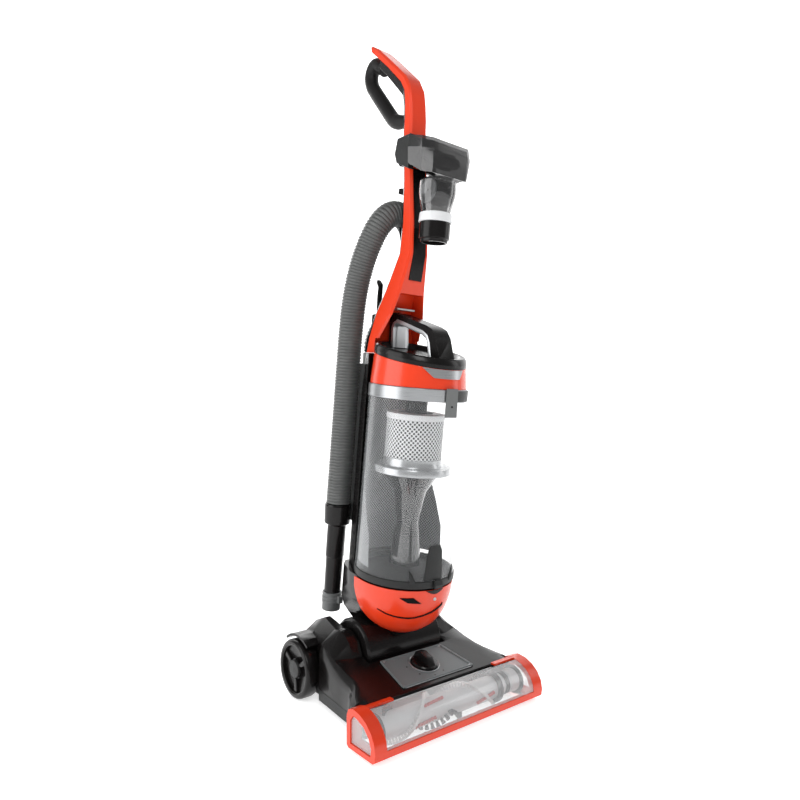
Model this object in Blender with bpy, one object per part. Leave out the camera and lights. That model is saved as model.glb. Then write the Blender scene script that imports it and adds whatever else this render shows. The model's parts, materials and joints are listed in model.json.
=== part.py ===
"""Upright vacuum cleaner with a see-through nozzle, a cyclone tank, a hose on the back and a pet turbo tool.

Metres, +Z up, front of the machine towards -Y. The origin is on the floor, under the middle of the foot.
The foot stands on its wheels and carries the upright, which leans and reclines about the motor shaft's axis.
Parts of the upright are drawn square to the tank's axis (x, depth rearwards, height) and tilted by one empty.
"""
import math

import bmesh
import bpy
from mathutils import Vector

# ---------------------------------------------------------------- driving dimensions
GAP = 0.0003                 # gap between touching pieces
LEAN = math.radians(7.08)    # forward lean of the parked upright

NOZZLE_W = 0.343
NOZZLE_FRONT = -0.1555
NOZZLE_REAR = -0.0875
CAP_T = 0.0205               # thickness of an orange end cap
ARCH_Y, ARCH_Z = -0.1035, 0.019       # centre of the nozzle's arched profile
ARCH_A, ARCH_B = 0.0520, 0.0435       # its depth and height
WINDOW_T = 0.002

BRUSH_Y, BRUSH_Z = -0.1165, 0.0305
BRUSH_CORE_R = 0.0180
BRISTLE_R = 0.0260

WHEEL_R, WHEEL_W = 0.048, 0.024
WHEEL_OUT = 0.148            # outer face of a rear wheel
AXLE_Y = 0.1075
ROLLER_R, ROLLER_W, ROLLER_X, ROLLER_Y = 0.009, 0.018, 0.112, -0.062

PIVOT_Y, PIVOT_Z = 0.0400, 0.0820     # recline axis and motor shaft
BARREL_R, BARREL_X = 0.052, 0.0780    # motor barrel and half its width
ARM_IN = 0.0815              # inner face of the foot's rear arms

TANK_Y, TANK_Z = -0.0024, 0.2086      # foot of the tank's axis
TANK_R = 0.0835
BOWL = (  # height, radius and rearmost edge of the exhaust panel
    (-0.0030, 0.0830, 0.0260), (-0.0200, 0.0815, 0.0260), (-0.0330, 0.0790, 0.0240), (-0.0450, 0.0755, 0.0215),
    (-0.0580, 0.0700, 0.0175), (-0.0720, 0.0600, 0.0080), (-0.0830, 0.0470, 0.0010), (-0.0925, 0.0300, 0.0005))
BAND_H0, BAND_H1 = 0.294, 0.314       # silver band along the tank's axis
SCREEN_R, FLANGE_R = 0.0488, 0.064

SPINE = (  # height, half width, front, back of the spine
    (0.362, 0.0475, 0.0640, 0.0960), (0.386, 0.0465, 0.0595, 0.0930), (0.428, 0.0370, 0.0415, 0.0860),
    (0.470, 0.0280, 0.0335, 0.0735), (0.530, 0.0200, 0.0230, 0.0550), (0.580, 0.0190, 0.0270, 0.0540),
    (0.650, 0.0185, 0.0380, 0.0600))
STRAP = (  # front, seam and back of the bent top of the spine, as (depth, height) each
    ((0.0495, 0.732), (0.0667, 0.732), (0.0715, 0.732)), ((0.0513, 0.755), (0.0675, 0.755), (0.0718, 0.752)),
    ((0.0555, 0.780), (0.0695, 0.779), (0.0755, 0.776)), ((0.0614, 0.804), (0.0745, 0.802), (0.0805, 0.7945)),
    ((0.0762, 0.8265), (0.0860, 0.8185), (0.0925, 0.806)), ((0.1195, 0.862), (0.1262, 0.8534), (0.1340, 0.8440)),
    ((0.1440, 0.8812), (0.1500, 0.8718), (0.1572, 0.8625)))
STRAP_TIP = (((0.1645, 0.897), (0.1660, 0.8836)), ((0.1850, 0.9080), (0.1820, 0.8960)))
GRIP_R = 0.0124
GRIP_PATH = ((0, 0.1592, 0.8624), (0, 0.1690, 0.8702), (0, 0.1790, 0.8765), (0, 0.1880, 0.8790),
             (0, 0.1955, 0.8750), (0, 0.2000, 0.8670), (0, 0.2000, 0.8560), (0, 0.1950, 0.8440),
             (0, 0.1860, 0.8330), (0, 0.1540, 0.8000), (0, 0.1300, 0.7755), (0, 0.1180, 0.7655),
             (0, 0.1050, 0.7610), (0, 0.0900, 0.7590), (0, 0.0756, 0.7580))

HOSE_R = 0.0215
HOSE_PATH = (  # from the inlet pipe's mouth, up behind the spine, over the holder and down to the wand
    (0.005, 0.133, 0.3635), (0.005, 0.133, 0.3780), (0.0100, 0.1310, 0.3980), (0.0220, 0.1220, 0.4250),
    (0.0300, 0.1120, 0.4580), (0.0390, 0.1010, 0.5000), (0.0400, 0.0930, 0.5350), (0.0310, 0.0860, 0.5730),
    (0.0130, 0.0840, 0.5950), (-0.0090, 0.0840, 0.6010), (-0.0280, 0.0850, 0.5920), (-0.0420, 0.0910, 0.5700),
    (-0.0500, 0.1030, 0.5350), (-0.0545, 0.1140, 0.4950), (-0.0575, 0.1200, 0.4500), (-0.0595, 0.1210, 0.4000),
    (-0.0600, 0.1210, 0.3400), (-0.0600, 0.1210, 0.2800), (-0.0600, 0.1210, 0.2200), (-0.0600, 0.1210, 0.1600),
    (-0.0600, 0.1210, 0.0950))
WAND_X, WAND_Q = -0.0600, 0.1210
BACK_Q = 0.0955              # back of the column behind the tank

DECK_SLOPE = 0.222
DECK_Y, DECK_Z = -0.0865, 0.0629      # a point on the sloping deck
DIAL_Y = -0.0550
RED = (0.80, 0.080, 0.022, 1.0)
BLACK = (0.020, 0.019, 0.019, 1.0)

# pivot in the tilted frame
SIN, COS = math.sin(LEAN), math.cos(LEAN)
PIVOT_Q = (PIVOT_Y - TANK_Y) * COS + (PIVOT_Z - TANK_Z) * SIN
PIVOT_H = (PIVOT_Z - TANK_Z) * COS - (PIVOT_Y - TANK_Y) * SIN


# ---------------------------------------------------------------- helpers
def material(name, color, roughness, metallic=0.0, alpha=1.0):
    """A plain Principled material."""
    made = bpy.data.materials.get(name) or bpy.data.materials.new(name)
    made.use_nodes = True
    shader = made.node_tree.nodes["Principled BSDF"]
    shader.inputs["Base Color"].default_value = color
    shader.inputs["Roughness"].default_value = roughness
    shader.inputs["Metallic"].default_value = metallic
    shader.inputs["Alpha"].default_value = alpha
    return made


def orange():
    return material("orange_plastic", RED, 0.22)


def black():
    return material("black_plastic", BLACK, 0.28)


def dark():
    return material("dark_plastic", (0.035, 0.036, 0.036, 1.0), 0.5)


def clear():
    return material("clear_plastic", (0.85, 0.88, 0.90, 1.0), 0.08, alpha=0.3)


def smoke():
    return material("smoky_plastic", (0.10, 0.10, 0.10, 1.0), 0.1, alpha=0.5)


def silver():
    return material("silver_plastic", (0.45, 0.46, 0.47, 1.0), 0.3, 0.6)


def grey():
    return material("grey_plastic", (0.24, 0.25, 0.25, 1.0), 0.45)


def pale():
    return material("pale_plastic", (0.70, 0.71, 0.72, 1.0), 0.4)


def steel():
    return material("steel", (0.55, 0.55, 0.56, 1.0), 0.3, 1.0)


def rubber():
    return material("rubber", (0.03, 0.03, 0.03, 1.0), 0.7)


def empty(name, location, parent=None, tilt=0.0):
    """An axis that pieces hang on."""
    axis = bpy.data.objects.new(name, None)
    axis.location = location
    axis.rotation_euler.x = tilt
    axis.parent = parent
    bpy.context.scene.collection.objects.link(axis)
    return axis


def add(name, bm, paint, parent=None, location=(0, 0, 0), round_piece=False):
    """Turn a bmesh into a named object whose faces point out."""
    bmesh.ops.recalc_face_normals(bm, faces=bm.faces)
    mesh = bpy.data.meshes.new(name)
    bm.to_mesh(mesh)
    bm.free()
    mesh.materials.append(paint)
    if round_piece:
        mesh.shade_smooth()
        mesh.set_sharp_from_angle(angle=math.radians(35))
    piece = bpy.data.objects.new(name, mesh)
    piece.location = location
    piece.parent = parent
    bpy.context.scene.collection.objects.link(piece)
    return piece


def loft(sections, closed=False):
    """Skin loops of equal length; the ends are capped unless the loft closes on itself."""
    bm = bmesh.new()
    rings = [[bm.verts.new(point) for point in section] for section in sections]
    count = len(rings[0])
    pairs = list(zip(rings, rings[1:]))
    if closed:
        pairs.append((rings[-1], rings[0]))
    for low, high in pairs:
        for i in range(count):
            j = (i + 1) % count
            bm.faces.new((low[i], low[j], high[j], high[i]))
    if not closed:
        bm.faces.new(rings[0][::-1])
        bm.faces.new(rings[-1])
    return bm


def circle(radius, count, z=0.0, x=0.0, y=0.0):
    return [(x + radius * math.cos(2 * math.pi * i / count), y + radius * math.sin(2 * math.pi * i / count), z)
            for i in range(count)]


def turned(profile, count, start=0.0, sweep=2 * math.pi, axis="Z"):
    """Turn a closed (radius, height) outline about an axis; a full turn closes on itself."""
    full = abs(sweep - 2 * math.pi) < 1e-6
    steps = count if full else count + 1
    sections = []
    for i in range(steps):
        turn = start + sweep * i / count
        ring = []
        for radius, height in profile:
            a, b = radius * math.cos(turn), radius * math.sin(turn)
            ring.append({"Z": (a, b, height), "X": (height, a, b), "Y": (b, height, a)}[axis])
        sections.append(ring)
    return loft(sections, closed=full)


def disc(radius, low, high, count, axis="Z", chamfer=0.0):
    """A solid round piece along an axis, with chamfered rims."""
    levels = [(radius - chamfer, low), (radius, low + chamfer), (radius, high - chamfer), (radius - chamfer, high)]
    if chamfer == 0.0:
        levels = [(radius, low), (radius, high)]
    sections = []
    for r, level in levels:
        ring = []
        for i in range(count):
            a = r * math.cos(2 * math.pi * i / count)
            b = r * math.sin(2 * math.pi * i / count)
            ring.append({"Z": (a, b, level), "X": (level, a, b), "Y": (b, level, a)}[axis])
        sections.append(ring)
    return loft(sections)


def block(low, high):
    """A box between two corners."""
    (x0, y0, z0), (x1, y1, z1) = low, high
    return loft([[(x0, y0, z), (x1, y0, z), (x1, y1, z), (x0, y1, z)] for z in (z0, z1)])


def slab(outline, low, high, axis="X"):
    """Extrude a flat outline along an axis; X takes (y, z) points, Z takes (x, y), Y takes (x, z)."""
    def at(point, level):
        a, b = point
        return {"X": (level, a, b), "Y": (a, level, b), "Z": (a, b, level)}[axis]
    return loft([[at(point, level) for point in outline] for level in (low, high)])


def frames(path):
    """Points and side vectors along a path, turning as little as possible."""
    points = [Vector(p) for p in path]
    out = []
    side = None
    for i, point in enumerate(points):
        ahead = (points[min(i + 1, len(points) - 1)] - points[max(i - 1, 0)]).normalized()
        if side is None:
            side = Vector((1, 0, 0)) if abs(ahead.x) < 0.9 else Vector((0, 1, 0))
        side = (side - ahead * side.dot(ahead)).normalized()
        out.append((point, side, ahead.cross(side)))
    return out


def tube(path, radius, count=12):
    """A solid round bar along a path."""
    rings = []
    for point, side, up in frames(path):
        rings.append([point + radius * (side * math.cos(2 * math.pi * i / count)
                                        + up * math.sin(2 * math.pi * i / count)) for i in range(count)])
    return loft(rings)


def smooth(path, per=4):
    """A smooth curve through points, as more points."""
    points = [Vector(p) for p in path]
    out = []
    for i in range(len(points) - 1):
        p0, p1, p2, p3 = points[max(i - 1, 0)], points[i], points[i + 1], points[min(i + 2, len(points) - 1)]
        for step in range(per):
            t = step / per
            out.append(0.5 * (2 * p1 + (p2 - p0) * t + (2 * p0 - 5 * p1 + 4 * p2 - p3) * t * t
                              + (3 * p1 - p0 - 3 * p2 + p3) * t ** 3))
    out.append(points[-1])
    return out


def cut(piece, bm, operation="DIFFERENCE", parent=None, location=(0, 0, 0)):
    """Cut, join or keep with another shape by a live Boolean."""
    tool = add(piece.name + "_tool", bm, piece.data.materials[0], parent, location)
    tool.hide_render = True
    tool.display_type = "WIRE"
    change = piece.modifiers.new("shape", "BOOLEAN")
    change.operation = operation
    change.solver = "EXACT"
    change.object = tool
    return piece


# ---------------------------------------------------------------- foot
def deck(y):
    return DECK_Z + (y - DECK_Y) * DECK_SLOPE


COVER = (  # y, how far the inner skin is set back in y, half section from the deck out and down to the skirt
    (-0.1020, 0.0, ((0.120, 0.0595), (0.134, 0.0590), (0.1420, 0.0582), (0.1460, 0.0570), (0.1478, 0.0560),
                    (0.1486, 0.0545), (0.1490, 0.0520))),
    (-0.0872, 0.0028, ((0.120, 0.0627), (0.134, 0.0622), (0.1420, 0.0612), (0.1460, 0.0597), (0.1478, 0.0580),
                       (0.1486, 0.0555), (0.1490, 0.0520))),
    (-0.0862, 0.0028, ((0.118, 0.0629), (0.138, 0.0622), (0.1540, 0.0590), (0.1620, 0.0535), (0.1640, 0.046),
                       (0.1655, 0.036), (0.1660, 0.0288))),
    (-0.0740, 0.0, ((0.112, 0.0657), (0.133, 0.0650), (0.1480, 0.0620), (0.1550, 0.056), (0.1575, 0.048),
                    (0.1590, 0.037), (0.1597, 0.0288))),
    (-0.0560, 0.0, ((0.106, 0.0697), (0.125, 0.0700), (0.1350, 0.0690), (0.1410, 0.062), (0.1435, 0.052),
                    (0.1450, 0.039), (0.1458, 0.0288))),
    (-0.0400, 0.0, ((0.102, 0.0732), (0.121, 0.0737), (0.1305, 0.0730), (0.1360, 0.065), (0.1378, 0.054),
                    (0.1388, 0.040), (0.1392, 0.0288))),
    (-0.0145, 0.0, ((0.079, 0.0789), (0.100, 0.0795), (0.1290, 0.0788), (0.1345, 0.069), (0.1360, 0.057),
                    (0.1368, 0.042), (0.1370, 0.0288))),
    (0.0020, 0.0, ((0.079, 0.0850), (0.100, 0.0850), (0.1290, 0.0835), (0.1338, 0.072), (0.1345, 0.059),
                   (0.1350, 0.043), (0.1352, 0.0288))),
    (0.0120, 0.0, ((0.079, 0.1060), (0.100, 0.1060), (0.1285, 0.0865), (0.1330, 0.074), (0.1338, 0.060),
                   (0.1342, 0.043), (0.1343, 0.0288))),
    (0.0260, 0.0, ((0.079, 0.1165), (0.100, 0.1165), (0.1280, 0.0905), (0.1318, 0.077), (0.1325, 0.062),
                   (0.1329, 0.044), (0.1330, 0.0288))),
    (0.0400, 0.0, ((0.079, 0.1200), (0.100, 0.1200), (0.1270, 0.0950), (0.1305, 0.080), (0.1312, 0.064),
                   (0.1316, 0.045), (0.1318, 0.0288))),
    (0.0555, -0.0028, ((0.079, 0.1175), (0.100, 0.1175), (0.1255, 0.0990), (0.1290, 0.084), (0.1298, 0.067),
                       (0.1303, 0.047), (0.1305, 0.0288))),
    (0.0565, -0.0028, ((0.079, 0.1175), (0.098, 0.1175), (0.1150, 0.1030), (0.1185, 0.094), (0.1188, 0.074),
                       (0.1190, 0.050), (0.1190, 0.0288))),
    (0.0980, 0.0, ((0.079, 0.1260), (0.092, 0.1260), (0.1130, 0.1090), (0.1182, 0.098), (0.1186, 0.076),
                   (0.1188, 0.050), (0.1190, 0.0288))),
    (0.1260, 0.0, ((0.079, 0.1150), (0.092, 0.1150), (0.1120, 0.1020), (0.1170, 0.092), (0.1182, 0.074),
                   (0.1188, 0.050), (0.1190, 0.0288))),
    (0.1440, 0.0, ((0.079, 0.0760), (0.092, 0.0760), (0.1100, 0.0720), (0.1160, 0.066), (0.1180, 0.058),
                   (0.1186, 0.045), (0.1190, 0.0288))))


SKIRT_Z = 0.0288
COVER_T = 0.0028


def inset(path, t):
    """Move an open (x, z) path to its right-hand side by t, keeping its ends level."""
    out = []
    for i, (x, z) in enumerate(path):
        before = path[i - 1] if i else None
        after = path[i + 1] if i < len(path) - 1 else None
        normals = []
        for a, b in ((before, (x, z)), ((x, z), after)):
            if a is None or b is None:
                continue
            dx, dz = b[0] - a[0], b[1] - a[1]
            size = math.hypot(dx, dz) or 1.0
            normals.append((dz / size, -dx / size))
        nx, nz = sum(n[0] for n in normals), sum(n[1] for n in normals)
        size = math.hypot(nx, nz) or 1.0
        nx, nz = nx / size, nz / size
        stretch = t / max(0.45, nx * normals[0][0] + nz * normals[0][1])
        out.append((x + nx * stretch, z + nz * stretch))
    return out


def foot_cover():
    """Upper shell of the foot: a bent sheet with a well for the motor barrel and two hollow rear arms."""
    sections = []
    for y, back, half in COVER:
        outer = [(-x, z) for x, z in half[::-1]] + list(half)
        inner = inset(outer, COVER_T)
        sections.append([(x, y, z) for x, z in outer] + [(x, y + back, z) for x, z in inner[::-1]])
    skin = loft(sections)
    bmesh.ops.triangulate(skin, faces=skin.faces)
    cover = add("base_cover", skin, black())
    cut(cover, block((-ARM_IN, -0.0160, 0.0), (ARM_IN, 0.16, 0.2)))
    for sign in (-1, 1):
        ends = sorted((sign * (ARM_IN - 0.0006), sign * (ARM_IN + COVER_T)))
        wall = [(y, half[0][1] - 0.0010) for y, back, half in COVER if -0.0145 <= y]
        wall = [(-0.0110, wall[0][1])] + wall[1:-1] + [(0.1434, wall[-1][1])]
        wall += [(0.1434, SKIRT_Z + GAP), (-0.0110, SKIRT_Z + GAP)]
        cut(cover, slab(wall, *ends), "UNION")
        arc = [math.radians(a) for a in (-38, -23, -8, 8, 23, 38)]
        lip = [(AXLE_Y + 0.0570 * math.sin(a), WHEEL_R + 0.0570 * math.cos(a)) for a in arc]
        lip += [(AXLE_Y + 0.0530 * math.sin(a), WHEEL_R + 0.0530 * math.cos(a)) for a in arc[::-1]]
        cut(cover, slab(lip, *sorted((sign * 0.1120, sign * 0.1420))), "UNION")
    cut(cover, disc(0.0125, -0.092, 0.092, 16, axis="X"), location=(0, PIVOT_Y, PIVOT_Z))
    cut(cover, disc(0.0050, -0.16, 0.16, 12, axis="X"), location=(0, AXLE_Y, WHEEL_R))
    return cover


def skirt_outline():
    """Plan outline of the foot's lower tray."""
    half = [(0.1660, -0.0860), (0.1597, -0.0740), (0.1458, -0.0560), (0.1392, -0.0400), (0.1370, -0.0145),
            (0.1330, 0.0260), (0.1305, 0.0555), (0.1190, 0.0565), (0.1190, 0.1440), (0.0815, 0.1440),
            (0.0815, 0.0960)]
    return half + [(-x, y) for x, y in half[::-1]]


def foot_tray():
    """Lower tray: floor plate with an upstanding wall, open between the rear arms."""
    tray = add("chassis", slab(skirt_outline(), 0.0100, SKIRT_Z - GAP, axis="Z"), dark())
    inner = [(0.1615, -0.0830), (0.1562, -0.0740), (0.1426, -0.0560), (0.1362, -0.0400), (0.1340, -0.0145),
             (0.1300, 0.0260), (0.1275, 0.0525), (0.1160, 0.0535), (0.1160, 0.1410), (0.0845, 0.1410),
             (0.0845, 0.0930)]
    inner = inner + [(-x, y) for x, y in inner[::-1]]
    cut(tray, slab(inner, 0.0130, 0.05, axis="Z"))
    for sign in (-1, 1):
        centre = (sign * ROLLER_X, ROLLER_Y, ROLLER_R)
        cut(tray, block((-ROLLER_W / 2 - 0.002, -0.012, -0.02), (ROLLER_W / 2 + 0.002, 0.012, 0.02)), location=centre)
    cut(tray, block((0.1080, -0.0900, 0.0160), (0.1200, -0.0200, 0.0400)))
    return tray


def arch_point(angle, grow=0.0):
    """A point of the nozzle's arched profile; 0 is the top and 90 degrees the front."""
    return (ARCH_Y - (ARCH_A + grow) * math.sin(angle), ARCH_Z + (ARCH_B + grow) * math.cos(angle))


def nozzle():
    """Orange frame of the nozzle, its clear front window and its two clear end windows."""
    arc = [arch_point(math.radians(a)) for a in (0, 18, 36, 54, 72, 90)]
    side = [(NOZZLE_REAR, 0.0085), (NOZZLE_REAR, 0.0500), (NOZZLE_REAR - 0.0045, 0.0590)] + arc
    side += [(NOZZLE_FRONT + 0.0015, 0.0085), (NOZZLE_FRONT + 0.006, 0.0055), (NOZZLE_REAR - 0.004, 0.0055)]
    half = NOZZLE_W / 2
    frame = add("nozzle_frame", slab(side, -half, half), orange())
    gap = half - CAP_T
    hollow = [(NOZZLE_REAR + 0.01, 0.0), (NOZZLE_REAR + 0.01, 0.08), (-0.17, 0.08), (-0.17, 0.0190),
              (NOZZLE_FRONT + 0.0085, 0.0190), (NOZZLE_FRONT + 0.0085, 0.0)]
    cut(frame, slab(hollow, -gap, gap))
    pane = [(NOZZLE_REAR - 0.009, 0.013), (NOZZLE_REAR - 0.009, 0.045), (-0.1030, 0.0530)]
    pane += [arch_point(math.radians(a), -0.0095) for a in (12, 36, 60, 84)]
    pane += [(NOZZLE_FRONT + 0.0115, 0.013)]
    cut(frame, slab(pane, -0.2, 0.2))
    for sign in (-1, 1):
        tab = block((-0.0235, -0.0045, -0.0016), (0.0235, 0.0045, 0.0016))
        cut(frame, tab, "UNION", location=(sign * 0.1290, -0.1065, 0.0603))
    angles = [math.radians(a) for a in (14, 29, 44, 59, 74, 89)]
    shell = [arch_point(a, -0.0004) for a in angles] + [arch_point(a, -WINDOW_T - 0.0004) for a in angles[::-1]]
    add("nozzle_window", slab(shell, -gap + GAP, gap - GAP), clear())
    small = [(NOZZLE_REAR - 0.009 - GAP, 0.013 + GAP), (NOZZLE_REAR - 0.009 - GAP, 0.0448), (-0.1030, 0.0526)]
    small += [arch_point(math.radians(a), -0.0099) for a in (12, 36, 60, 82)]
    small += [(NOZZLE_FRONT + 0.0119, 0.013 + GAP)]
    for name, sign in (("end_window_left", -1), ("end_window_right", 1)):
        x0, x1 = sorted((sign * (half - 0.0045), sign * (half - 0.0020)))
        add(name, slab(small, x0, x1), clear())


def brush_parts():
    """Brush roll with two helical bristle rows, its end bearings, the liner behind it and the belt."""
    axis = empty("brush_axis", (0, BRUSH_Y, BRUSH_Z))
    profile = [(0.0055, -0.1435), (0.0055, -0.1405), (BRUSH_CORE_R, -0.1400), (BRUSH_CORE_R, 0.1060),
               (0.0155, 0.1065), (0.0155, 0.1215), (BRUSH_CORE_R, 0.1220), (BRUSH_CORE_R, 0.1400),
               (0.0055, 0.1405), (0.0055, 0.1435)]
    rings = [[(x, r * math.cos(2 * math.pi * i / 20), r * math.sin(2 * math.pi * i / 20)) for i in range(20)]
             for r, x in profile]
    add("brush_roll", loft(rings), pale(), axis, round_piece=True)
    low, high, half_width = BRUSH_CORE_R + 2 * GAP, BRISTLE_R, 0.0016
    for name, phase in (("bristle_row_a", 0.0), ("bristle_row_b", math.pi)):
        rings = []
        steps = 30
        for i in range(steps + 1):
            x = -0.134 + 0.236 * i / steps
            turn = phase + 2 * math.pi * abs(i / steps - 0.5) * 1.6
            radial = Vector((0, math.cos(turn), math.sin(turn)))
            across = Vector((0, -math.sin(turn), math.cos(turn)))
            at = Vector((x, 0, 0))
            lift = (low / math.cos(math.atan2(half_width, low))) if low else low
            rings.append([at + radial * lift - across * half_width, at + radial * high - across * half_width,
                          at + radial * high + across * half_width, at + radial * lift + across * half_width])
        add(name, loft(rings), rubber(), axis)
    for name, sign in (("brush_cap_left", -1), ("brush_cap_right", 1)):
        ring = [(0.0056, sign * 0.1410), (0.0230, sign * 0.1410), (0.0230, sign * 0.1440), (0.0110, sign * 0.1500),
                (0.0056, sign * 0.1500)]
        add(name, turned(ring, 20, axis="X"), grey(), axis, round_piece=True)
    back = [math.radians(a) for a in (-38, -20, -2, 16, 34, 50, 66)]
    outer = [(BRUSH_Y + 0.0288 * math.cos(a), BRUSH_Z + 0.0280 * math.sin(a)) for a in back]
    inner = [(BRUSH_Y + 0.0272 * math.cos(a), BRUSH_Z + 0.0264 * math.sin(a)) for a in back]
    add("brush_liner", slab(outer + inner[::-1], -0.1425, 0.1040), pale())
    belt_path = belt_outline(0.0)
    belt_inner = belt_outline(-0.0016)
    ring = []
    for (y0, z0), (y1, z1) in zip(belt_path, belt_inner):
        ring.append([(0.1095, y0, z0), (0.1185, y0, z0), (0.1185, y1, z1), (0.1095, y1, z1)])
    add("drive_belt", loft(ring, closed=True), rubber())


def belt_outline(grow):
    """Loop of the flat belt around the brush pulley and the motor pulley."""
    small, large = 0.0085 + grow, 0.0175 + grow
    ends = ((BRUSH_Y, BRUSH_Z, large), (PIVOT_Y, PIVOT_Z, small))
    dy, dz = ends[1][0] - ends[0][0], ends[1][1] - ends[0][1]
    heading = math.atan2(dz, dy)
    spread = math.acos((large - small) / math.hypot(dy, dz))
    points = []
    for (y, z, radius), first, last in ((ends[0], heading + spread, heading + 2 * math.pi - spread),
                                        (ends[1], heading - spread, heading + spread)):
        for i in range(9):
            turn = first + (last - first) * i / 8
            points.append((y + radius * math.cos(turn), z + radius * math.sin(turn)))
    return points


def foot_bottom():
    """Soleplate with its intake slot and the pockets of the two front rollers."""
    outline = [(-0.1500, -0.1460), (0.1500, -0.1460), (0.1500, -0.0560), (-0.1500, -0.0560)]
    plate = add("soleplate", slab(outline, 0.0062, 0.0097, axis="Z"), grey())
    cut(plate, block((-0.146, -0.1430, 0.0), (0.146, -0.0900, 0.02)))
    for sign in (-1, 1):
        cut(plate, block((-0.012, -0.013, -0.01), (0.012, 0.013, 0.01)),
            location=(sign * ROLLER_X, ROLLER_Y, 0.008))


def height_control():
    """Recessed grey panel on the deck with the carpet height dial."""
    tilt = math.atan(DECK_SLOPE)
    axis = empty("dial_axis", (0, DIAL_Y, deck(DIAL_Y)), tilt=tilt)
    wide, narrow = 0.0733, 0.0640
    front, rear = -0.0392, 0.0345
    outline = [(-wide, front), (wide, front), (narrow, rear), (-narrow, rear)]
    panel = add("height_panel", slab(outline, GAP, 0.0030, axis="Z"), silver(), axis)
    inner = [(-wide + 0.004, front + 0.003), (wide - 0.004, front + 0.003), (narrow - 0.004, rear - 0.003),
             (-narrow + 0.004, rear - 0.003)]
    cut(panel, slab(inner, 0.0012, 0.01, axis="Z"), parent=axis)
    knob = [[(r * math.cos(2 * math.pi * i / 20), r * math.sin(2 * math.pi * i / 20), z) for i in range(20)]
            for r, z in ((0.0225, 0.0016), (0.0225, 0.0050), (0.0210, 0.0066))]
    dial = add("height_dial", loft(knob), black(), axis, round_piece=True)
    rib = [(-0.0200, 0.0060), (0.0200, 0.0060), (0.0170, 0.0150), (0.0060, 0.0190), (-0.0100, 0.0170)]
    cut(dial, slab(rib, -0.0065, 0.0065, axis="X"), "UNION", parent=axis)


def wheels():
    """Two rear wheels on stub axles, two small rollers under the nozzle."""
    for side, sign in (("left", -1), ("right", 1)):
        axis = empty("wheel_axis_" + side, (0, AXLE_Y, WHEEL_R))
        inside, outside = sign * (WHEEL_OUT - WHEEL_W), sign * WHEEL_OUT
        rim = [(0.0050, inside), (WHEEL_R - 0.004, inside), (WHEEL_R, inside + sign * 0.004),
               (WHEEL_R, outside - sign * 0.004), (WHEEL_R - 0.003, outside), (0.0385, outside),
               (0.0370, outside - sign * 0.008), (0.0130, outside - sign * 0.010), (0.0120, outside - sign * 0.0015),
               (0.0050, outside - sign * 0.0015)]
        add("wheel_" + side, turned(rim, 32, axis="X"), black(), axis, round_piece=True)
        ends = sorted((sign * 0.0860, sign * (WHEEL_OUT - 0.002)))
        add("axle_" + side, disc(0.0045, ends[0], ends[1], 12, axis="X"), steel(), axis, round_piece=True)
        axis = empty("roller_axis_" + side, (sign * ROLLER_X, ROLLER_Y, ROLLER_R))
        add("roller_" + side, disc(ROLLER_R, -ROLLER_W / 2, ROLLER_W / 2, 16, axis="X", chamfer=0.0015), black(),
            axis, round_piece=True)


def recline_pedal():
    """Foot pedal that frees the upright, on the outside of the left arm's rear."""
    axis = empty("pedal_axis", (0, 0.1000, 0.1280))
    outline = [(-0.004, 0.0026), (0.004, 0.0040), (0.0420, -0.0060), (0.0440, -0.0100), (0.0400, -0.0110),
               (0.004, -0.0002)]
    add("recline_pedal", slab(outline, 0.1050, 0.1400), dark(), axis)


# ---------------------------------------------------------------- upright
def ring_section(h, radius, back_half, back, count=16):
    """Plan section of the upright: a front half circle that runs into a squarer back."""
    points = []
    for i in range(count + 1):
        turn = math.pi + math.pi * i / count
        points.append((radius * math.cos(turn), radius * math.sin(turn), h))
    points += [(radius, back * 0.45, h), (back_half + 0.012, back * 0.86, h), (back_half, back, h),
               (-back_half, back, h), (-back_half - 0.012, back * 0.86, h), (-radius, back * 0.45, h)]
    return points


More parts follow.
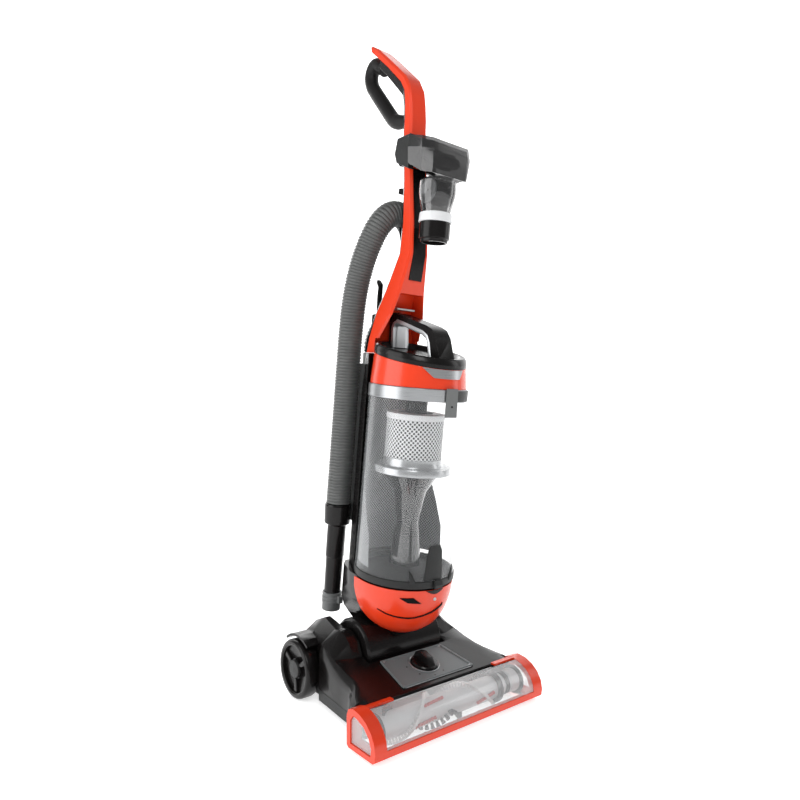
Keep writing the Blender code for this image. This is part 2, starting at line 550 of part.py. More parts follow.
def motor_unit(frame):
    """Black motor housing, the motor with its fan and pulley shaft, exhaust filter and orange front panel."""
    origin = (0, -PIVOT_Q, -PIVOT_H)
    table = ((-0.1000, 0.0140, 0.036, 0.066), (-0.0830, 0.0400, 0.046, 0.080), (-0.0720, 0.0555, 0.052, 0.088),
             (-0.0580, 0.0660, 0.054, BACK_Q), (-0.0450, 0.0715, 0.054, BACK_Q), (-0.0200, 0.0778, 0.054, BACK_Q),
             (-0.0010, 0.0795, 0.054, BACK_Q))
    outer = [ring_section(h, r, b, q) for h, r, b, q in table]
    housing = add("motor_housing", loft(outer), black(), frame, origin, round_piece=True)
    barrel = disc(BARREL_R, -BARREL_X, BARREL_X, 32, axis="X", chamfer=0.004)
    cut(housing, barrel, "UNION", frame)
    for sign in (-1, 1):
        ends = sorted((sign * (BARREL_X - 0.006), sign * 0.0870))
        cut(housing, disc(0.0118, ends[0], ends[1], 16, axis="X"), "UNION", frame)
    cut(housing, disc(BARREL_R - 0.003, -BARREL_X + 0.003, BARREL_X - 0.003, 24, axis="X"), parent=frame)
    inner = [ring_section(h, r - 0.0035, b - 0.004, q - 0.004) for h, r, b, q in table[2:-1]]
    inner[-1] = [(x, y, -0.004) for x, y, z in inner[-1]]
    cut(housing, loft(inner), parent=frame, location=origin)
    cut(housing, disc(0.0075, -0.11, 0.11, 12, axis="X"), parent=frame)
    cut(housing, block((-0.026, -0.10, -0.050), (0.026, 0.0, -0.022)), parent=frame, location=origin)
    shaft_axis = empty("shaft_axis", (0, 0, 0), frame)
    can = [(0.0056, -0.062), (0.0450, -0.062), (0.0450, 0.020), (0.0330, 0.024), (0.0330, 0.040), (0.0056, 0.040)]
    add("motor", turned(can, 20, axis="X"), steel(), shaft_axis, round_piece=True)
    shaft = [[(x, r * math.cos(2 * math.pi * i / 12), r * math.sin(2 * math.pi * i / 12)) for i in range(12)]
             for r, x in ((0.0050, -0.068), (0.0050, 0.1080), (0.0066, 0.1085), (0.0066, 0.1195))]
    add("motor_shaft", loft(shaft), steel(), shaft_axis, round_piece=True)
    fan = [(0.0053, -0.0870), (0.0130, -0.0870), (0.0430, -0.0720), (0.0430, -0.0700), (0.0053, -0.0700)]
    fan = [(r, x + 0.100 + 0.030) for r, x in fan]
    add("fan", turned(fan, 20, axis="X"), pale(), shaft_axis, round_piece=True)
    filter_low, filter_high = (-0.040, -0.0420, -0.0400), (0.040, 0.020, -0.0120)
    add("exhaust_filter", block(filter_low, filter_high), pale(), frame, origin)
    panel_axis = empty("panel_axis", origin, frame)
    sections = []
    for h, radius, back in BOWL:
        ring = []
        for grow, order in ((0.0, range(17)), (-0.0020, range(16, -1, -1))):
            arc = [((radius + grow) * math.cos(turn), (radius + grow) * math.sin(turn), h) for turn in
                   [math.radians(-180 + 180 * i / 16) for i in order]]
            ends = [(arc[0][0], back, h), (arc[-1][0], back, h)]
            ring += [ends[0]] + arc + [ends[1]]
        sections.append(ring)
    bowl = add("exhaust_panel", loft(sections), orange(), panel_axis, round_piece=True)
    cut(bowl, disc(BARREL_R + 0.0006, -0.10, 0.10, 48, axis="X"), parent=frame)


def rear_housing(frame):
    """Black column behind the tank, with the cord hook, hose holder, inlet pipe, switch and hooks."""
    origin = (0, -PIVOT_Q, -PIVOT_H)
    inner = TANK_R + 0.0012
    sections = []
    for h, half in ((0.0002, 0.053), (0.180, 0.053), (0.290, 0.052), (0.3615, 0.048)):
        front = [(inner * math.sin(a), inner * math.cos(a), h) for a in
                 [math.radians(v) for v in (52, 39, 26, 13, 0, -13, -26, -39, -52)]]
        sections.append(front + [(-half, BACK_Q - 0.010, h), (-half + 0.006, BACK_Q, h), (half - 0.006, BACK_Q, h),
                                 (half, BACK_Q - 0.010, h)])
    column = add("rear_housing", loft(sections), black(), frame, origin)
    pocket = block((0.0205, BACK_Q - 0.0055, 0.0655), (0.0395, BACK_Q + 0.01, 0.0945))
    cut(column, pocket, parent=frame, location=origin)

    wall = [[(0.0050 + math.cos(a) * r, 0.1330 + math.sin(a) * r, h) for a in
             [2 * math.pi * i / 16 for i in range(16)]]
            for r, h in ((0.0185, 0.1330), (0.0195, 0.1400), (0.0195, 0.3360), (0.0225, 0.3370), (0.0225, 0.3615))]
    pipe_piece = add("inlet_pipe", loft(wall), grey(), frame, origin, round_piece=True)
    cut(pipe_piece, block((-0.009, BACK_Q + GAP, 0.17), (0.019, 0.125, 0.28)), "UNION", frame, origin)
    cut(pipe_piece, disc(0.0170, 0.20, 0.40, 12, axis="Z"), parent=frame,
        location=(0.0050, 0.1330 - PIVOT_Q, -PIVOT_H))

    saddle = [(0.0554, 0.530), (0.0544, 0.580), (0.0567, 0.600), (0.0601, 0.630), (0.0614, 0.641), (0.0800, 0.6430),
              (0.0810, 0.6340), (0.0640, 0.6290), (0.0612, 0.6120), (0.0603, 0.5766), (0.0720, 0.5766),
              (0.0720, 0.5716), (0.0570, 0.5310)]
    add("hose_holder", slab(saddle, -0.010, 0.0085), black(), frame, origin)

    hook = [(0.0905, 0.409), (0.1210, 0.409), (0.1210, 0.429), (0.1090, 0.431), (0.1100, 0.462), (0.1090, 0.476),
            (0.1150, 0.485), (0.1130, 0.490), (0.1040, 0.482), (0.1040, 0.462), (0.1030, 0.428), (0.0868, 0.428)]
    add("cord_hook_lower", slab(hook, -0.0175, -0.0095), black(), frame, origin)
    hook_axis = empty("hook_axis", (0, 0.0668 - PIVOT_Q, 0.690 - PIVOT_H), frame)
    hook = [(0.0003, -0.0080), (0.0220, -0.0080), (0.0300, 0.0020), (0.0300, 0.0240), (0.0250, 0.0240),
            (0.0240, 0.0060), (0.0180, 0.0010), (0.0003, 0.0060)]
    add("cord_hook_upper", slab(hook, -0.0060, 0.0060), black(), hook_axis)
    switch_axis = empty("switch_axis", (0.0300, BACK_Q - PIVOT_Q, 0.080 - PIVOT_H), frame)
    rocker = [(-0.0008, -0.0130), (0.0052, -0.0130), (0.0030, 0.0), (0.0052, 0.0130), (-0.0008, 0.0130)]
    add("power_switch", slab(rocker, -0.0088, 0.0088), dark(), switch_axis)


def spine(frame):
    """Orange spine cover with its black back strip and inlay, bent back over the black grip."""
    origin = (0, -PIVOT_Q, -PIVOT_H)
    stations = [((front, h), (back - (0.0050 if h > 0.4 else 0.0100), h), (back, h), half)
                for h, half, front, back in SPINE]
    stations += [(front, seam, back, 0.018) for front, seam, back in STRAP]
    cover, strip = [], []
    for front, seam, back, half in stations:
        dq, dh = seam[0] - front[0], seam[1] - front[1]
        size = math.hypot(dq, dh)
        early = (front[0] + dq * 0.0035 / size, front[1] + dh * 0.0035 / size)
        near = (seam[0] + dq * GAP / size, seam[1] + dh * GAP / size)
        cover.append([(-half, *seam), (-half, *early), (-half + 0.0035, *front), (half - 0.0035, *front),
                      (half, *early), (half, *seam)])
        strip.append([(-half, *near), (half, *near), (half - 0.002, *back), (-half + 0.002, *back)])
    for front, seam in STRAP_TIP:
        dq, dh = seam[0] - front[0], seam[1] - front[1]
        size = math.hypot(dq, dh)
        early = (front[0] + dq * 0.0035 / size, front[1] + dh * 0.0035 / size)
        cover.append([(-0.0165, *seam), (-0.0165, *early), (-0.013, *front), (0.013, *front), (0.0165, *early),
                      (0.0165, *seam)])
    cover_piece = add("spine_cover", loft(cover), orange(), frame, origin)
    cut(cover_piece, disc(0.0810, 0.30, 0.3872, 48), parent=frame, location=origin)
    channel = [[(-half, 0.0100, h), (half, 0.0100, h), (half, back, h), (-half, back, h)] for h, half, back in
               ((0.3000, 0.0430, 0.0790), (0.3900, 0.0425, 0.0785), (0.4300, 0.0325, 0.0745), (0.4640, 0.0240, 0.0580))]
    cut(cover_piece, loft(channel), parent=frame, location=origin)
    panel = [(0.0100, 0.4860), (0.0312, 0.4860), (0.0258, 0.5300), (0.0298, 0.5800), (0.0408, 0.6500),
             (0.0440, 0.6700), (0.0100, 0.6700)]
    cut(cover_piece, slab(panel, -0.0135, 0.0135), parent=frame, location=origin)
    add("spine_back", loft(strip), black(), frame, origin)
    face = [(0.0286, 0.4864), (0.0308, 0.4864), (0.0254, 0.5300), (0.0294, 0.5800), (0.0404, 0.6500),
            (0.0434, 0.6696), (0.0410, 0.6696), (0.0380, 0.6500), (0.0270, 0.5800), (0.0230, 0.5300)]
    add("spine_inlay", slab(face, -0.0131, 0.0131), black(), frame, origin)
    add("grip", tube(smooth(GRIP_PATH, per=2), GRIP_R, 12), rubber(), frame, origin, round_piece=True)


def hose_parts(frame):
    """Corrugated hose from the inlet pipe over the holder to the wand, which stands in its socket."""
    origin = (0, -PIVOT_Q, -PIVOT_H)
    points = smooth(HOSE_PATH, per=2)
    curve = bpy.data.curves.new("hose", "CURVE")
    curve.dimensions = "3D"
    curve.bevel_depth = HOSE_R
    curve.bevel_resolution = 3
    curve.use_fill_caps = True
    spline = curve.splines.new("POLY")
    spline.points.add(len(points) - 1)
    for knot, point in zip(spline.points, points):
        knot.co = (*point, 1.0)
    curve.materials.append(grey())
    hose = bpy.data.objects.new("hose", curve)
    hose.location = origin
    hose.parent = frame
    bpy.context.scene.collection.objects.link(hose)
    at = (WAND_X, WAND_Q - PIVOT_Q, -PIVOT_H)
    wand = [(0.0135, 0.0945), (0.0225, 0.0945), (0.0235, 0.0910), (0.0225, 0.0600), (0.0180, 0.0570),
            (0.0162, 0.0560), (0.0162, 0.0000), (0.0152, -0.0010), (0.0152, -0.0300), (0.0146, -0.0600),
            (0.0144, -0.0860), (0.0130, -0.0860), (0.0130, 0.0600)]
    add("wand", turned(wand, 20), black(), frame, at, round_piece=True)
    ribs = []
    for i in range(3):
        level = -0.0650 - 0.0068 * i
        ribs += [(0.0174, level), (0.0174, level - 0.0034), (0.0163, level - 0.0040), (0.0163, level - 0.0064)]
    cuff = [(0.0153, -0.0640)] + ribs + [(0.0163, -0.0960), (0.0153, -0.0960)]
    socket = add("wand_socket", turned(cuff, 20), grey(), frame, at, round_piece=True)
    lug = block((0.0, -0.0235, -0.0800), (0.0080, -0.0150, -0.0680))
    cut(socket, lug, "UNION", frame, at)


def tank(frame):
    """Lift-out tank: cup, bands, lid with carry handle, cyclone screen, cone, hinged door and its latch."""
    axis = empty("tank_axis", (0, -PIVOT_Q, -PIVOT_H), frame)
    cup = [(0.0803, 0.0126), (0.0827, 0.0126), (0.0803, 0.2936), (0.0779, 0.2936)]
    add("tank_cup", turned(cup, 40), clear(), axis, round_piece=True)
    band = [(0.0770, BAND_H0), (0.0818, BAND_H0), (0.0814, BAND_H1 - GAP), (0.0770, BAND_H1 - GAP)]
    add("tank_band", turned(band, 40), silver(), axis, round_piece=True)

    def slope(y):
        """Height of the lid's lower edge at a depth y: the lid drops towards the front."""
        return 0.3575 + 0.1656 * y

    wall = []
    for i in range(40):
        turn = 2 * math.pi * i / 40
        ring = []
        for radius, low in ((0.0764, True), (0.0794, True), (0.0760, False), (0.0730, False)):
            x, y = radius * math.cos(turn), radius * math.sin(turn)
            ring.append((x, y, BAND_H1 if low else slope(y) - GAP))
        wall.append(ring)
    add("lid_band", loft(wall, closed=True), orange(), axis, round_piece=True)
    lid = []
    for radius, rise in ((0.0762, 0.0), (0.0764, 0.0060), (0.0750, 0.0130), (0.0725, 0.0155), (0.0660, 0.0150),
                         (0.0600, 0.0070)):
        lid.append([(x, y, slope(y) + rise) for x, y, z in circle(radius, 40)])
    top = add("tank_lid", loft(lid), black(), axis, round_piece=True)
    bail = [(0.0680, 0.3660), (0.0690, 0.4200), (0.0670, 0.4290), (0.0600, 0.4325), (-0.0280, 0.4120),
            (-0.0420, 0.4060), (-0.0520, 0.3940), (-0.0680, 0.3520), (-0.0500, 0.3520), (-0.0400, 0.3560),
            (-0.0330, 0.3840), (-0.0280, 0.3930), (-0.0180, 0.3985), (0.0480, 0.4160), (0.0550, 0.4130),
            (0.0570, 0.4060), (0.0540, 0.3660)]
    cut(top, slab(bail, -0.0160, 0.0160), "UNION", axis)
    screen = [(0.0465, 0.2930), (SCREEN_R, 0.2930), (SCREEN_R, 0.1850), (FLANGE_R, 0.1835), (FLANGE_R, 0.1715),
              (0.0465, 0.1715)]
    add("cyclone_screen", turned(screen, 32), pale(), axis, round_piece=True)
    cone = [(0.0440, 0.1700), (0.0460, 0.1700), (0.0280, 0.1400), (0.0240, 0.1200), (0.0185, 0.0880),
            (0.0240, 0.0500), (0.0260, 0.0165), (0.0240, 0.0165), (0.0220, 0.0500), (0.0165, 0.0880),
            (0.0220, 0.1200), (0.0262, 0.1400)]
    add("inner_cone", turned(cone, 24), smoke(), axis, round_piece=True)
    sheet = []
    for radius, order in ((0.0774, range(9)), (0.0762, range(8, -1, -1))):
        for i in order:
            turn = math.radians(90 - 58 + 116 * i / 8)
            sheet.append((radius * math.cos(turn), radius * math.sin(turn)))
    add("back_screen", slab(sheet, 0.0200, 0.2850, axis="Z"), pale(), axis)
    tab = [(-0.0838, 0.3160), (-0.0850, 0.2710), (-0.0822, 0.2710), (-0.0822, 0.3160)]
    tab_axis = empty("tab_axis", (0, -0.0838, 0.3160), axis)
    tab = [(q + 0.0838, h - 0.3160) for q, h in tab]
    add("latch_tab", slab(tab, -0.0120, 0.0120), grey(), tab_axis)
    door_axis = empty("door_axis", (0, TANK_R + 0.0030, 0.0035), axis)
    levels = [(0.0795, 0.0123), (TANK_R, 0.0123), (TANK_R + 0.0006, 0.0110), (TANK_R + 0.0006, 0.0003)]
    rings = [circle(r, 40, z=h, y=-TANK_R - 0.0030) for r, h in levels]
    floor = [circle(0.0795, 40, z=0.0022, y=-TANK_R - 0.0030)]
    add("tank_door", loft(floor + rings), black(), door_axis, (0, 0, -0.0035), round_piece=True)
    latch_axis = empty("latch_axis", (0, -TANK_R - 0.0008, 0.0006), axis)
    latch = [(-0.0003, 0.0), (-0.0045, -0.0002), (-0.0060, 0.0055), (-0.0030, 0.0130), (-0.0003, 0.0135)]
    add("door_latch", slab(latch, -0.0080, 0.0080), dark(), latch_axis)
    button_axis = empty("release_axis", (0, 0.0690 - PIVOT_Q, 0.4370 - PIVOT_H), frame)
    button = [(-0.0220, 0.0), (-0.0220, 0.0032), (0.0, 0.0042), (0.0, 0.0)]
    add("tank_release", slab(button, -0.0190, 0.0190), silver(), button_axis)


def turbo_tool(frame):
    """Pet turbo tool that hangs on a block in front of the spine."""
    origin = (0, -PIVOT_Q, -PIVOT_H)
    mount = [(0.0330, 0.7200), (0.0680, 0.7180), (0.0730, 0.6940), (0.0660, 0.6780), (0.0330, 0.6640)]
    piece = add("tool_mount", slab(mount, -0.0300, 0.0300), black(), frame, origin)
    cut(piece, slab([(0.02, 0.60), (0.0790, 0.60), (0.0790, 0.76), (0.02, 0.76)], -0.0190, 0.0190), parent=frame,
        location=origin)
    bridge = block((-0.0250, 0.0330, 0.6900), (0.0250, 0.0400, 0.7180))
    cut(piece, bridge, "UNION", frame, origin)
    axis = empty("tool_axis", (0, -0.0100 - PIVOT_Q, 0.6300 - PIVOT_H), frame)
    rows = (((-0.036, 0.0380, 0.0850), (-0.040, 0.0, 0.0750), (-0.031, -0.0180, 0.0700), (0.041, -0.0200, 0.0690),
             (0.050, -0.0080, 0.0690), (0.050, 0.0380, 0.0800)),
            ((-0.037, 0.0390, 0.0660), (-0.043, -0.0040, 0.0560), (-0.033, -0.0220, 0.0530), (0.043, -0.0240, 0.0500),
             (0.0515, -0.0110, 0.0500), (0.0515, 0.0390, 0.0620)),
            ((-0.035, 0.0380, 0.0400), (-0.041, -0.0040, 0.0200), (-0.032, -0.0210, 0.0165), (0.039, -0.0230, 0.0165),
             (0.046, -0.0110, 0.0165), (0.046, 0.0380, 0.0220)))
    head = add("tool_shell", loft(rows[::-1]), smoke(), axis)
    hollow = [[(0.0065 + (x - 0.0065) * 0.94, 0.0085 + (y - 0.0085) * 0.93, z - 0.004 * (k == 0)) for x, y, z in row]
              for k, row in enumerate(rows)]
    hollow[-1] = [(x, y, -0.02) for x, y, z in hollow[-1]]
    cut(head, loft(hollow[::-1]), parent=axis)
    neck = [circle(r, 20, z=h) for r, h in ((0.0240, 0.0155), (0.0300, 0.0100), (0.0300, -0.0080), (0.0270, -0.0240),
                                            (0.0235, -0.0380))]
    body = add("tool_neck", loft(neck), smoke(), axis, round_piece=True)
    cut(body, disc(0.0180, -0.06, -0.012, 16), parent=axis)
    cut(body, disc(0.0215, -0.020, 0.020, 20, axis="X"), parent=axis, location=(0, 0, -0.005))
    add("tool_ring", turned([(0.0170, -0.0383), (0.0262, -0.0383), (0.0272, -0.0530), (0.0170, -0.0530)], 24),
        pale(), axis, round_piece=True)
    add("tool_nozzle", turned([(0.0195, -0.0533), (0.0252, -0.0533), (0.0250, -0.0790), (0.0225, -0.0800),
                               (0.0222, -0.0850), (0.0185, -0.0850)], 24), black(), axis, round_piece=True)
    brush_axis = empty("tool_brush_axis", (0.0040, 0.0080, 0.0500), axis)
    rings = [[(x, r * math.cos(2 * math.pi * i / 12), r * math.sin(2 * math.pi * i / 12)) for i in range(12)]
             for r, x in ((0.0150, -0.0380), (0.0150, 0.0380))]
    add("tool_brush", loft(rings), rubber(), brush_axis, round_piece=True)
    turbine_axis = empty("turbine_axis", (0, 0, -0.0050), axis)
    rings = [[(x, r * math.cos(2 * math.pi * i / 20), r * math.sin(2 * math.pi * i / 20)) for i in range(20)]
             for r, x in ((0.0200, -0.0180), (0.0200, 0.0180))]
    add("turbine", loft(rings), pale(), turbine_axis, round_piece=True)


for old in list(bpy.data.objects):
    bpy.data.objects.remove(old, do_unlink=True)

foot_cover()
foot_tray()
foot_bottom()
nozzle()
brush_parts()
height_control()
wheels()
recline_pedal()

recline_axis = empty("recline_axis", (0, PIVOT_Y, PIVOT_Z), tilt=LEAN)
motor_unit(recline_axis)
rear_housing(recline_axis)
spine(recline_axis)
hose_parts(recline_axis)
tank(recline_axis)
turbo_tool(recline_axis)
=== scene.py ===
import json
import math

import bmesh
import bpy
from mathutils import Matrix, Vector

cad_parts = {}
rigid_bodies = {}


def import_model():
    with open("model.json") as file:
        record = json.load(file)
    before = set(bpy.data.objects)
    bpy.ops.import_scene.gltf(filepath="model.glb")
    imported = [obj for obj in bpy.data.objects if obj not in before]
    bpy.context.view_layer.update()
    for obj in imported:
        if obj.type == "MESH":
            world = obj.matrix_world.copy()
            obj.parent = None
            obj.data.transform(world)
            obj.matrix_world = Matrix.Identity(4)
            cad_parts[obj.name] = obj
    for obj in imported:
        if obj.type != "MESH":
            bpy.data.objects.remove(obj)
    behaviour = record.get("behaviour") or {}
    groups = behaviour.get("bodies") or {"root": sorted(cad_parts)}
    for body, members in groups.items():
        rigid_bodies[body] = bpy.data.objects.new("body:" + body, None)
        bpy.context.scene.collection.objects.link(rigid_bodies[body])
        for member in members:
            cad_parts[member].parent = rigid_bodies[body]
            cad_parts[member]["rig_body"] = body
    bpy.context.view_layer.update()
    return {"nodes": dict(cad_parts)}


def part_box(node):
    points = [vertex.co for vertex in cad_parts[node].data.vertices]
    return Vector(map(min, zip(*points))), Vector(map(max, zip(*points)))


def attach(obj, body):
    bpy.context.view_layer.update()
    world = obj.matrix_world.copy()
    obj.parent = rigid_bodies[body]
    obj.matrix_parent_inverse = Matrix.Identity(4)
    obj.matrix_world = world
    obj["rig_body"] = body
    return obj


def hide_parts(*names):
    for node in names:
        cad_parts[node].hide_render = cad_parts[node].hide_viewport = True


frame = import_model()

# ------------------------------------------------------------------ camera, studio and floor
# A white floor and backdrop, which give off a little light, and four large soft lamps. The camera stands in front
# of the machine's left corner, a little under half its height, and looks almost level.
camera = bpy.data.objects.new("camera", bpy.data.cameras.new("camera"))
bpy.context.scene.collection.objects.link(camera)
camera.data.sensor_width = 36.0
camera.data.lens = 29.106
camera.data.clip_start = 0.02
side = Vector((0.7825, -0.6227, 0.0))
back = Vector((-0.6225, -0.7822, -0.0249)).normalized()
above = back.cross(side).normalized()
side = above.cross(back).normalized()
camera.matrix_world = Matrix.Translation((-0.6867, -0.8557, 0.4700)) @ Matrix(
    ((side.x, above.x, back.x), (side.y, above.y, back.y), (side.z, above.z, back.z))).to_4x4()
bpy.context.scene.camera = camera


def lamp(name, place, target, size, power, tint=(1.0, 1.0, 1.0)):
    """A soft rectangular studio lamp that faces a point."""
    light = bpy.data.lights.new(name, "AREA")
    light.shape, light.size, light.size_y = "RECTANGLE", size[0], size[1]
    light.energy, light.color = power, tint
    made = bpy.data.objects.new(name, light)
    made.location = place
    made.rotation_mode = "QUATERNION"
    made.rotation_quaternion = (Vector(target) - Vector(place)).to_track_quat("-Z", "Y")
    bpy.context.scene.collection.objects.link(made)


lamp("key_lamp", (-1.2, -1.9, 2.3), (0, 0, 0.5), (1.0, 1.2), 24)
lamp("left_softbox", (-2.2, 0.5, 1.0), (0, 0, 0.6), (1.9, 1.9), 32)
lamp("right_fill", (2.1, -1.3, 1.2), (0, 0, 0.5), (0.7, 1.9), 9)
lamp("rear_lamp", (0.6, 2.2, 1.9), (0, 0, 0.6), (1.6, 1.2), 20)
world = bpy.data.worlds.new("studio")
world.use_nodes = True
world.node_tree.nodes["Background"].inputs["Color"].default_value = (1.0, 1.0, 1.0, 1.0)
world.node_tree.nodes["Background"].inputs["Strength"].default_value = 0.30
bpy.context.scene.world = world
bpy.context.scene.view_settings.view_transform = "Standard"


class Value:
    """A shader socket that takes part in Python sums; each sum adds its Math node."""

    def __init__(self, paint, socket):
        self.paint, self.socket = paint, socket

    def math(self, operation, first, second=0.0):
        """The result of one Math node."""
        return self.paint.node("ShaderNodeMath", {"operation": operation}, {0: first, 1: second})

    def __add__(self, other):
        return self.math("ADD", self, other)

    def __radd__(self, other):
        return self.math("ADD", other, self)

    def __sub__(self, other):
        return self.math("SUBTRACT", self, other)

    def __rsub__(self, other):
        return self.math("SUBTRACT", other, self)

    def __mul__(self, other):
        return self.math("MULTIPLY", self, other)

    def __rmul__(self, other):
        return self.math("MULTIPLY", other, self)

    def __truediv__(self, other):
        return self.math("DIVIDE", self, other)

    def __rtruediv__(self, other):
        return self.math("DIVIDE", other, self)

    def __pow__(self, other):
        return self.math("POWER", self, other)

    def __gt__(self, other):
        return self.math("GREATER_THAN", self, other)

    def __lt__(self, other):
        return self.math("LESS_THAN", self, other)

    def clamp(self):
        """Held between 0 and 1."""
        return self.paint.node("ShaderNodeClamp", {}, {"Value": self})

    def wave(self):
        """Its sine, between -1 and 1."""
        return self.math("SINE", self)


class Paint:
    """One material under a Principled shader, built a node at a time."""

    def __init__(self, name):
        self.material = bpy.data.materials.new(name)
        self.material.use_nodes = True
        self.tree = self.material.node_tree
        self.shader = self.tree.nodes["Principled BSDF"]

    def node(self, kind, settings, sockets, out=0):
        """Adds a node: settings first, then socket values or links. A ramp's stops are a setting."""
        made = self.tree.nodes.new(kind)
        for key, value in settings.items():
            if key == "stops":
                ramp = made.color_ramp.elements
                while len(ramp) < len(value):
                    ramp.new(0.5)
                for stop, (at, tone) in zip(ramp, value):
                    stop.position, stop.color = at, tone
            else:
                setattr(made, key, value)
        for key, value in sockets.items():
            if isinstance(value, Value):
                self.tree.links.new(value.socket, made.inputs[key])
            else:
                made.inputs[key].default_value = value
        return Value(self, made.outputs[out])

    def place(self):
        """The point on the machine, in metres."""
        return self.node("ShaderNodeTexCoord", {}, {}, "Object")

    def axis(self, letter):
        """The point's X, Y or Z."""
        return self.node("ShaderNodeSeparateXYZ", {}, {0: self.place()}, "XYZ".index(letter))

    def noise(self, scale, detail=3.0, rough=0.5, stretch=(1, 1, 1)):
        """Cloudy variation between 0 and 1, finer with a larger scale and drawn out where stretch is small."""
        point = self.node("ShaderNodeMapping", {}, {"Vector": self.place(), "Scale": stretch})
        return self.node("ShaderNodeTexNoise", {}, {"Vector": point, "Scale": scale, "Detail": detail,
                                                    "Roughness": rough}, "Fac")

    def blend(self, amount, first, second):
        """A colour between two colours."""
        made = self.tree.nodes.new("ShaderNodeMix")
        made.data_type = "RGBA"
        for index, value in ((0, amount), (6, first), (7, second)):
            if isinstance(value, Value):
                self.tree.links.new(value.socket, made.inputs[index])
            else:
                made.inputs[index].default_value = value
        return Value(self, made.outputs[2])

    def relief(self, height, depth, strength=1.0):
        """Raised or sunk surface detail, with its depth in metres."""
        normal = self.node("ShaderNodeBump", {}, {"Height": height, "Distance": depth, "Strength": strength})
        self.set(Normal=normal)

    def set(self, **values):
        """Sets or links the shader's sockets by name."""
        for key, value in values.items():
            socket = self.shader.inputs[key.replace("_", " ")]
            if isinstance(value, Value):
                self.tree.links.new(value.socket, socket)
            else:
                socket.default_value = value
        return self.material


def stage_sheet(name, corners, glow):
    """A large white sheet of the studio that gives off a little light of its own."""
    mesh = bpy.data.meshes.new(name)
    mesh.from_pydata(corners, [], [(0, 1, 2, 3)])
    sheet = bpy.data.objects.new(name, mesh)
    bpy.context.scene.collection.objects.link(sheet)
    paint = Paint(name + "_white")
    paint.set(Base_Color=(0.93, 0.93, 0.93, 1.0), Roughness=0.75, Emission_Color=(1.0, 1.0, 1.0, 1.0),
              Emission_Strength=glow)
    mesh.materials.append(paint.material)


stage_sheet("floor", [(-9, -9, 0), (9, -9, 0), (9, 9, 0), (-9, 9, 0)], 0.62)
stage_sheet("backdrop", [(-3.6, 8.2, -0.1), (9.0, -1.8, -0.1), (9.0, -1.8, 7.0), (-3.6, 8.2, 7.0)], 1.0)


# ------------------------------------------------------------------ hose
# A grey ribbed stretch hose, blown over a wire helix. It runs from the inlet pipe's mouth up behind the spine,
# over the hose holder and down to the collar of the wand.
LEAN = math.radians(7.08)                 # forward lean of the parked upright
TANK_Y, TANK_Z = -0.0024, 0.2086          # foot of the tank's axis


def leaning(x, q, h):
    """A point given square to the tank's axis: across, rearwards and up it."""
    return Vector((x, TANK_Y + q * math.cos(LEAN) - h * math.sin(LEAN),
                   TANK_Z + q * math.sin(LEAN) + h * math.cos(LEAN)))


def curve_through(points, per):
    """A smooth line through points, with extra points between them."""
    points = [Vector(p) for p in points]
    out = []
    for i in range(len(points) - 1):
        p0, p1, p2, p3 = points[max(i - 1, 0)], points[i], points[i + 1], points[min(i + 2, len(points) - 1)]
        for step in range(per):
            t = step / per
            out.append(0.5 * (2 * p1 + (p2 - p0) * t + (2 * p0 - 5 * p1 + 4 * p2 - p3) * t * t
                              + (3 * p1 - p0 - 3 * p2 + p3) * t ** 3))
    return out + [points[-1]]


def even(points, step):
    """The same line with points an even distance apart."""
    out, left = [points[0].copy()], step
    for a, b in zip(points, points[1:]):
        length = (b - a).length
        while length >= left:
            a = a + (b - a) * (left / length)
            out.append(a.copy())
            length = (b - a).length
            left = step
        left -= length
    return out


def skin(bm, loops):
    """Adds faces over closed loops of points, each joined to the next, and caps both ends."""
    rings = [[bm.verts.new(point) for point in loop] for loop in loops]
    count = len(rings[0])
    for low, high in zip(rings, rings[1:]):
        for i in range(count):
            bm.faces.new((low[i], low[(i + 1) % count], high[(i + 1) % count], high[i]))
    bm.faces.new(rings[0][::-1])
    bm.faces.new(rings[-1])
    return bm


def sweep(points, profile, count):
    """A closed tube along points; profile gives the radius at each point."""
    side, loops = None, []
    for i, point in enumerate(points):
        ahead = (points[min(i + 1, len(points) - 1)] - points[max(i - 1, 0)]).normalized()
        if side is None:
            side = Vector((1, 0, 0)) if abs(ahead.x) < 0.9 else Vector((0, 1, 0))
        side = (side - ahead * side.dot(ahead)).normalized()
        up = ahead.cross(side)
        loops.append([point + profile[i] * (side * math.cos(2 * math.pi * k / count)
                                            + up * math.sin(2 * math.pi * k / count)) for k in range(count)])
    return skin(bmesh.new(), loops)


def piece(name, bm, paint, body, slot, stands_for=(), sharp=40.0):
    """Turns a mesh into a named piece that rides on a body, shaded smooth up to a sharp angle."""
    bmesh.ops.recalc_face_normals(bm, faces=bm.faces)
    mesh = bpy.data.meshes.new(name)
    bm.to_mesh(mesh)
    bm.free()
    mesh.materials.append(paint)
    mesh.shade_smooth()
    mesh.set_sharp_from_angle(angle=math.radians(sharp))
    made = bpy.data.objects.new(name, mesh)
    bpy.context.scene.collection.objects.link(made)
    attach(made, body)
    if stands_for:
        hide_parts(*stands_for)
    return made


